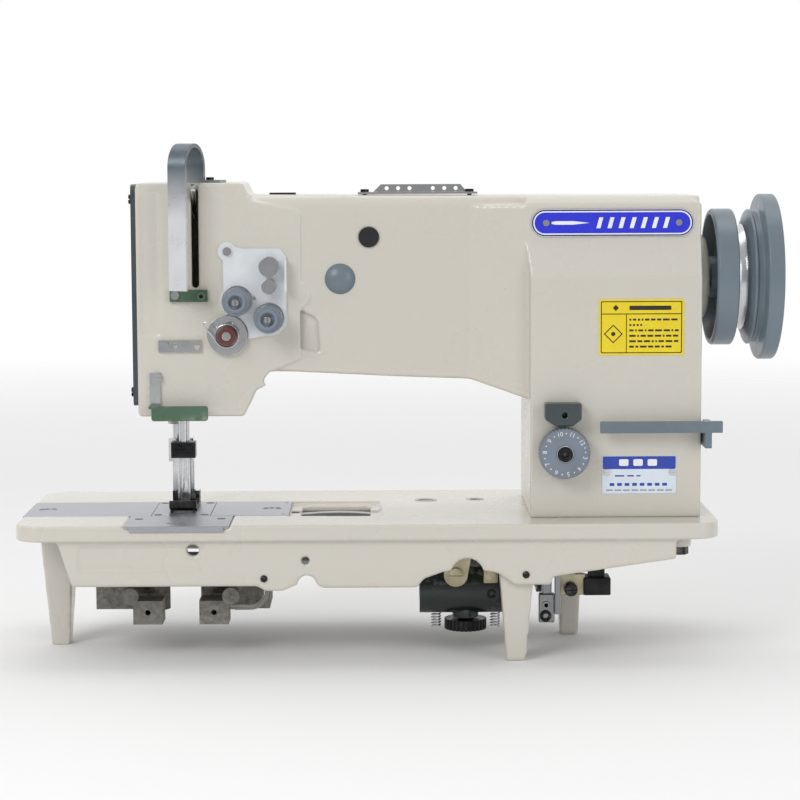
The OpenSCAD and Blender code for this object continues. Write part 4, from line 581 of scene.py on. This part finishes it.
def tension_knob(node):
    """A knurled nut with a counterbored front boss."""
    x, z = KNOB_AT[node]
    teeth = 36
    tooth_depth = 0.7
    profile = eased([(2.6, 14.6), (9.6, 14.6, 0.0), (10.5, 15.4, 1.0), (10.5, 21.8, 1.0), (9.7, 22.6, 0.0),
                     (8.0, 22.6), (7.8, 24.6), (5.2, 24.6), (5.0, 21.6), (2.6, 21.6), (2.6, 14.6)], 0.25)
    build(node + "_piece", PAINT[SLOT_OF[node]],
          lambda bm: lathe(bm, at(x, FACE_Y, z), profile, 8 * teeth, teeth, tooth_depth), node, angle=50)


def dial():
    """Knurled dial with figures round its face, a bright ring and a socket screw in its hub."""
    node = "stitch_dial"
    spot = at(DIAL_AT[0], COLUMN_Y, DIAL_AT[1])
    teeth = 44
    tooth_depth = 0.7
    face = 16.2
    body = eased([(0, 3), (18.2, 3, 0.0), (19, 3.8, 1.0), (19, 13.6, 1.0), (18.5, 15.2, 0.3), (17.9, face),
                  (6.3, face), (6.1, 14.5), (0, 14.5)], 0.3)
    shaft = eased([(0, -30), (5, -30), (5, 3.5), (0, 3.5)], 0.2)
    collar = eased([(5.2, 14.4), (6.4, 14.4), (6.4, 17.0), (5.8, 17.6), (5.2, 16.4), (5.2, 14.4)], 0.2)

    def knob(bm):
        lathe(bm, spot, body, 8 * teeth, teeth, tooth_depth)
        lathe(bm, spot, shaft, 64)
    build("stitch_dial_piece", PAINT["dial_plastic"], knob, node, angle=50)
    build("dial_ring", PAINT["chrome_plate"], lambda bm: lathe(bm, spot, collar, 96),
          body=BODY_OF[node])
    build("dial_screw", PAINT["black_oxide"],
          lambda bm: socket_screw(bm, spot, 14.4, 17.4, 4.7, 2.4, 0.3, 2.2, 0.3, 64),
          body=BODY_OF[node])

    # Figures run clockwise from just below the right, with a dot half way to the next one
    lowest, figures = 3, 10
    first, step = 101.0, 34.9
    last_dot = 9.86
    figure_r, dot_r = 14.9, 15.2

    def marks(bm):
        for k in range(figures):
            write(bm, str(lowest + k), spot, first + step * k, figure_r, face)
            dot(bm, spot, first + step * (k + 0.5), dot_r, face)
        dot(bm, spot, first + step * last_dot, dot_r, face)
    build("dial_figures", DIAL_WHITE, marks, body=BODY_OF[node])


def dot(bm, spot, clockwise, radius, forward, r=0.5):
    """A small raised dot on the dial's face, at an angle from the top."""
    a = math.radians(clockwise)
    place = spot + Vector((math.sin(a) * radius, 0, math.cos(a) * radius)) * MM
    back, rim_at, top = forward - 0.2, forward + 0.06, forward + 0.08
    lathe(bm, place, [(0, back), (r, back), (r, rim_at), (0, top)], 16)


def write(bm, text, spot, clockwise, radius, forward, size=4.6):
    """One figure on the dial's face, its top pointing outwards."""
    curve = bpy.data.curves.new("figure", "FONT")
    curve.body = text
    curve.size = size * MM
    curve.extrude = 0.08 * MM
    curve.align_x = "CENTER"
    curve.align_y = "CENTER"
    holder = bpy.data.objects.new("figure", curve)
    bpy.context.scene.collection.objects.link(holder)
    mesh = bpy.data.meshes.new_from_object(holder.evaluated_get(bpy.context.evaluated_depsgraph_get()))
    a = math.radians(clockwise)
    upright = Matrix.Rotation(math.pi / 2, 4, "X")
    turned = Matrix.Rotation(a, 4, "Y")
    moved = Matrix.Translation(spot + Vector((math.sin(a) * radius, -forward, math.cos(a) * radius)) * MM)
    mesh.transform(moved @ turned @ upright)
    bm.from_mesh(mesh)
    bpy.data.objects.remove(holder)
    bpy.data.meshes.remove(mesh)
    bpy.data.curves.remove(curve)


def coil_points(start, axis, u, v, r0, r1, turns, length, first=0.0, steps=28):
    """Points along a helix that leaves the start along its axis."""
    count = int(turns * steps)
    out = []
    for i in range(count + 1):
        t = i / count
        a = math.radians(first) + 2 * math.pi * turns * t
        r = r0 + (r1 - r0) * t
        out.append(start + (axis * (length * t) + u * (r * math.cos(a)) + v * (r * math.sin(a))) * MM)
    return out


X, Y, Z = Vector((1, 0, 0)), Vector((0, 1, 0)), Vector((0, 0, 1))


def springs():
    """The wire springs, each wound as a smooth round wire."""
    def wind(node, make):
        build(node + "_piece", PAINT[SLOT_OF[node]], make, node, angle=60)

    def tension(bm):
        for x, z in KNOB_AT.values():
            tube(bm, coil_points(at(x, FACE_Y - 7.1, z), -Y, X, Z, 6.2, 4.2, 4, 6.5), 0.5 * MM)
    wind("tension_springs", tension)

    def check(bm):
        x, z = CHECK_AT
        wire = coil_points(at(x, -47.5, z), -Y, -X, Z, 8.6, 8.6, 2.5, 4.0, 143)
        end = at(x - 15.3, -52, z + 6)
        wire += [wire[-1].lerp(end, 0.5), end, end + Vector((-1.6, 0, 1.8)) * MM,
                 end + Vector((-1.2, 0, 4.0)) * MM, end + Vector((0.6, 0, 4.6)) * MM]
        tube(bm, wire, 0.5 * MM)
    wind("check_spring", check)

    def presser(bm):
        tube(bm, coil_points(at(112, 19, 179.3), Z, X, Y, 5.6, 5.6, 8, 52), 1.0 * MM)
    wind("presser_spring", presser)

    def regulator(bm):
        wheel_x, wheel_y = 333, -22
        for side in (-1, 1):
            foot = at(wheel_x + side * 22.5, wheel_y, -89.4)
            tube(bm, coil_points(foot, Z, X, Y, 3.5, 3.5, 5, 10.8), 0.6 * MM)
    wind("regulator_springs", regulator)


def print_on(name, ink, make):
    """A printed layer of a plate that is fixed to the column."""
    build(name, ink, make, body="root")


def bar(bm, x0, x1, z0, z1, y):
    """A printed bar with slightly rounded ends."""
    plate(bm, rounded_box(x0, x1, z0, z1, min(x1 - x0, z1 - z0) * 0.2, 3), y + 0.02, y - 0.04, 0.02)


def long_and_data_plates():
    """The long plate has a dark edge, a white line and a needle with stitches; the other has a blue band."""
    x0, x1, z0, z1 = LONG_PLATE
    corner_r = 10.1

    def line(inset):
        return rounded_box(x0 + inset, x1 - inset, z0 + inset, z1 - inset, corner_r - inset, 16)

    front = UPPER_Y - 0.9
    low = COLUMN_Y - 0.6

    def sheets(bm):
        plate(bm, line(0), UPPER_Y, front, 0.3)
        plate(bm, rounded_box(*DATA_PLATE, 1.4), COLUMN_Y, low)
    base = build("nameplates_piece", NAVY_EDGE, sheets, "nameplates")
    between_plates = at(0, 0, 100).z
    paint_part(base, lambda c: c.z < between_plates, PALE_PLATE)

    def lines(bm):
        rim(bm, line(0.15), line(0.5), front + 0.05, front - 0.03)
        rim(bm, line(1.5), line(2.5), front + 0.05, front - 0.06)
    print_on("nameplate_line", WHITE_INK, lines)
    print_on("nameplate_field", PAINT["nameplate"],
             lambda bm: plate(bm, line(2.5), front + 0.05, front - 0.04, 0.02))

    def motif(bm):
        z = (z0 + z1) / 2
        top, ease = front - 0.09, 0.03
        lower = [(396, z - 0.7), (399, z - 1.3), (412, z - 1.3)]
        upper = [(412, z + 1.3), (399, z + 1.3), (396, z + 0.7)]
        plate(bm, lower + [(424, z)] + upper, front, top, ease)
        stitches, first_x, pitch = 7, 429, 8.2
        wide, half, lean = 3.0, 4, 2.2
        for k in range(stitches):
            x = first_x + pitch * k
            stitch = [(x, z - half), (x + wide, z - half), (x + wide + lean, z + half), (x + lean, z + half)]
            plate(bm, stitch, front, top, ease)
    print_on("nameplate_motif", WHITE_INK, motif)

    def band(bm):
        plate(bm, rounded_box(433.9, 488.1, 36.2, 45.8, 1.0), low, low - 0.05, 0.02)
        for x, wide in ((443, 7), (452, 5), (459, 3)):
            bar(bm, x, x + wide, 30.6, 31.7, low)
        for k in range(8):
            bar(bm, 439 + 5.6 * k, 442.6 + 5.6 * k, 23.6, 25.8, low)
    print_on("data_plate_band", BAND_BLUE, band)
    print_on("data_plate_bars", WHITE_INK,
             lambda bm: [bar(bm, 446 + 10.6 * k, 453 + 10.6 * k, 38.6, 43.6, low - 0.05) for k in range(3)])
    print_on("data_plate_rows", GREY_INK,
             lambda bm: [bar(bm, 436.5 + 6.3 * k, 441.4 + 6.3 * k, 19.8, 21.0, low) for k in range(8)])


def yellow_label():
    """Printed film: a frame, a heading, a small plain sign, and rows of bars in place of words."""
    x0, x1, z0, z1 = LABEL
    y = COLUMN_Y - 0.3
    build("info_label_piece", PAINT["label"],
          lambda bm: plate(bm, rounded_box(x0, x1, z0, z1, 1.2), COLUMN_Y, y, 0.08), "info_label")

    def spot_of_ink(bm, x, z, r, segments):
        lathe(bm, at(x, y, z), [(0, -0.02), (r, -0.02), (r, 0.04), (0, 0.04)], segments)

    def ink(bm):
        outer, inner = 1.5, 2.2
        rim(bm, rounded_box(x0 + outer, x1 - outer, z0 + outer, z1 - outer, 1.0),
            rounded_box(x0 + inner, x1 - inner, z0 + inner, z1 - inner, 0.8), y + 0.02, y - 0.04)
        # Line under the heading, divider, and the heading's bar and mark
        bar(bm, x0 + 2, x1 - 2, 151.2, 151.9, y)
        bar(bm, 450.6, 451.2, z0 + 2, 151.4, y)
        bar(bm, 453, 484, 154.4, 157.6, y)
        spot_of_ink(bm, 443, 156, 2.3, 4)
        # Diamond with a dot in the left cell
        sign_x, sign_z = 441.2, 136.8
        tips = ((0, 1), (-1, 0), (0, -1), (1, 0))
        rim(bm, *([(sign_x + r * u, sign_z + r * v) for u, v in tips] for r in (7, 5.9)), y + 0.02, y - 0.04)
        spot_of_ink(bm, sign_x, sign_z, 1.6, 24)
        # Rows of bars, each as long as a share of the right cell
        left, width, right = 453.0, 36, 489.6
        for row, share in enumerate((0.86, 0.24, 0.95, 0.98, 0.97, 0.84)):
            z = 146.6 - 4.0 * row
            x = left
            while x < left + width * share:
                wide = 3.2 + 1.9 * math.sin(7.0 * x + row)
                bar(bm, x, min(x + wide, right), z, z + 1.5, y)
                x += wide + 1.1
    print_on("label_ink", BLACK_INK, ink)


def check_knob():
    """Brown knob with a slotted stud in front of the check spring's disc."""
    x, z = CHECK_AT
    teeth = 28
    tooth_depth = 0.4
    knob = eased([(3.4, 0), (7.2, 0, 0), (7.2, 6.4, 1.0), (6.4, 7.4, 0), (3.4, 7.4), (3.4, 0)], 0.3)
    build("check_knob", BROWN_PLASTIC,
          lambda bm: lathe(bm, at(x, -47.0, z), knob, 6 * teeth, teeth, tooth_depth),
          body="root")
    build("check_stud", PAINT["chrome_plate"], lambda bm: slotted_screw(bm, x, -54.2, z, 3.3, 2.0),
          body="root")


def under_bed_fittings():
    """Clamp plates, blocks and links beside the regulator, held up to the bed's web."""
    web_z = -31.5

    def dark(bm):
        block(bm, 421.6, 442.2, -40, -20, -62.5, -49.1, 1.0)
        block(bm, 426, 438, -36, -24, -50, web_z, 0.8)
        socket_screw(bm, at(393.3, -36, -78.7), -8, 1.5, 4.4, 2.4, 0.2, 2.5, 0.4)
        slotted_screw(bm, 412.0, -40.5, -57.5, 5.0, 3.5)
        socket_screw(bm, at(352.1, -40, -60.6), -8, 1.5, 3.6, 2.0, 0.2, 2.5, 0.4)
    build("under_blocks", PAINT["black_oxide"], dark, body="root")

    def olive(bm):
        block(bm, 402, 423, -38, -34, -62.5, -46, 0.8)
        block(bm, 404, 412, -37, -20, -47, web_z, 0.8)
        block(bm, 346, 357, -40, -36, -53, -42, 0.8)
    build("olive_plates", PAINT["zinc_plate"], olive, body="root")

    def links(bm):
        block(bm, 399.9, 404.7, -40, -36, -77, -46, 0.7)
        block(bm, 388.2, 400.2, -36, -28, -84, -62, 1.0)
        block(bm, 391, 398, -34, -26, -64, web_z, 0.8)
        washer = eased([(0, 0), (3.2, 0), (3.2, 0.8), (1.4, 0.8), (1.4, 0)], 0.2)
        lathe(bm, at(393.7, -36, -70.6), washer, 48)
    build("under_links", PAINT["steel"], links, body="root")


TENSION_STEEL = ground_steel("tension_plate_satin", srgb(232, 236, 240), 0.4, "z", metallic=0.35)
# The guard's darker top is a painted reflection of its bend, between these two heights
GUARD_STEEL = strap_steel_with_painted_reflection("guard_strap_painted_reflection", painted_reflection_dark_above=at(0, 0, 262).z, painted_reflection_bright_below=at(0, 0, 222).z)
SPECIAL = {"tension_plate": TENSION_STEEL, "take_up_guard": GUARD_STEEL}

# Nodes whose pieces are drawn from scratch by the functions above
OWN = {"upper_tension_knob", "lower_tension_knob", "stitch_dial", "tension_springs", "check_spring",
       "presser_spring", "regulator_springs", "nameplates", "info_label"}
made = {}
for name in sorted(NODE):
    if name in CAST:
        made[name] = cast(name, *CAST[name])
    elif name not in OWN:
        made[name] = dress(name, EDGE.get(name, USUAL_EDGE), SPECIAL.get(name))
tension_knob("upper_tension_knob")
tension_knob("lower_tension_knob")
dial()
springs()
long_and_data_plates()
yellow_label()
check_knob()
under_bed_fittings()

# Faces with a bright finish on pieces of another colour: screw heads on both plates and on the head, the
# lower thread guide, the finger guard's bracket, and the shanks above the two feet
BRIGHT = [("screws", within(380, 500, -56, -50.5, 205, 232)),
          ("screws", within(433, 490, -64, -58.3, 17, 47)),
          ("screws", within(96, 170, -60, -41, 80, 205)),
          ("head_thread_guides", within(100, 140, -50, -30, 120, 135)),
          ("finger_guard", within(90, 112, -50, -30, 85, 110)),
          ("inner_foot", within(100, 140, -60, 60, 12, 120)),
          ("presser_foot", within(100, 140, -60, 60, 12, 120))]
for name, chosen in BRIGHT:
    paint_part(made[name], chosen, PAINT["chrome_plate"])

# ---------- floor, light and camera ----------

# Metres and radians in the shared frame
CAMERA_AT = (-0.00935, -1.747, 0.3731)
CAMERA_DOWN = 0.1059
CAMERA_RIGHT = 0.0053
CAMERA_ROLL = -0.0044
LENS = 103.29

# Strength of the surroundings behind the operator, low down and overhead, and power of each light in watts
FRONT_LOW, FRONT_HIGH = 0.3, 0.6
KEY, FILL, TOP = 21, 8, 5

# The floor is solid to the first radius and clear beyond the second
FLOOR_RADIUS = 3.0
FLOOR_FADE = (0.9, 2.6)


def camera():
    """Looks at the machine from in front, a little from above."""
    data = bpy.data.cameras.new("camera")
    data.lens = LENS
    data.sensor_width = 36
    ob = bpy.data.objects.new("camera", data)
    turn = Matrix.Rotation(-CAMERA_RIGHT, 4, "Z") @ Matrix.Rotation(math.pi / 2 - CAMERA_DOWN, 4, "X")
    ob.matrix_world = Matrix.Translation(CAMERA_AT) @ turn @ Matrix.Rotation(CAMERA_ROLL, 4, "Z")
    bpy.context.scene.collection.objects.link(ob)
    bpy.context.scene.camera = ob


def soft_light(name, place, size, power, target=(0, 0, 0.2)):
    """A rectangular light turned towards the middle of the machine."""
    data = bpy.data.lights.new(name, "AREA")
    data.shape = "RECTANGLE"
    data.size, data.size_y = size
    data.energy = power
    ob = bpy.data.objects.new(name, data)
    ob.location = place
    ob.rotation_euler = (Vector(place) - Vector(target)).to_track_quat("Z", "Y").to_euler()
    bpy.context.scene.collection.objects.link(ob)


def floor():
    """A pale round floor that fades into the background."""
    bm = bmesh.new()
    bmesh.ops.create_circle(bm, cap_ends=True, segments=96, radius=FLOOR_RADIUS)
    f = Finish("floor", (0.86, 0.86, 0.86, 1.0), 0.9)
    distance = f.add("VectorMath", {"operation": "LENGTH"})
    f.put(distance.inputs[0], f.point)
    f.set(Alpha=f.span(distance.outputs["Value"], *FLOOR_FADE, 1.0, 0.0))
    ob = finish_mesh("floor", bm, f.material)


def studio():
    """White behind the machine and greyer behind the operator, for bright metal to mirror."""
    world = bpy.data.worlds.new("studio")
    world.use_nodes = True
    tree = world.node_tree
    way = tree.nodes.new("ShaderNodeTexCoord").outputs["Generated"]
    parts = tree.nodes.new("ShaderNodeSeparateXYZ")
    tree.links.new(way, parts.inputs[0])

    def ramp(socket, low, high, to_low, to_high):
        node = tree.nodes.new("ShaderNodeMapRange")
        node.interpolation_type = "SMOOTHSTEP"
        tree.links.new(socket, node.inputs["Value"])
        for key, v in zip(("From Min", "From Max", "To Min", "To Max"), (low, high, to_low, to_high)):
            node.inputs[key].default_value = v
        return node.outputs["Result"]
    front = ramp(parts.outputs["Z"], -0.3, 0.8, FRONT_LOW, FRONT_HIGH)
    back = ramp(parts.outputs["Y"], -0.1, 0.35, 0.0, 1.0)
    mix = tree.nodes.new("ShaderNodeMix")
    tree.links.new(back, mix.inputs["Factor"])
    tree.links.new(front, mix.inputs["A"])
    mix.inputs["B"].default_value = 1.0
    sky = tree.nodes["Background"]
    sky.inputs["Color"].default_value = (1.0, 1.0, 1.0, 1.0)
    tree.links.new(mix.outputs["Result"], sky.inputs["Strength"])
    bpy.context.scene.world = world
    bpy.context.scene.view_settings.view_transform = "Standard"
    soft_light("key", (-1.3, -1.7, 1.5), (1.0, 1.0), KEY)
    soft_light("fill", (1.5, -1.6, 0.7), (0.8, 1.4), FILL)
    soft_light("top", (0.1, 0.3, 1.8), (1.6, 0.8), TOP)


camera()
studio()
floor()
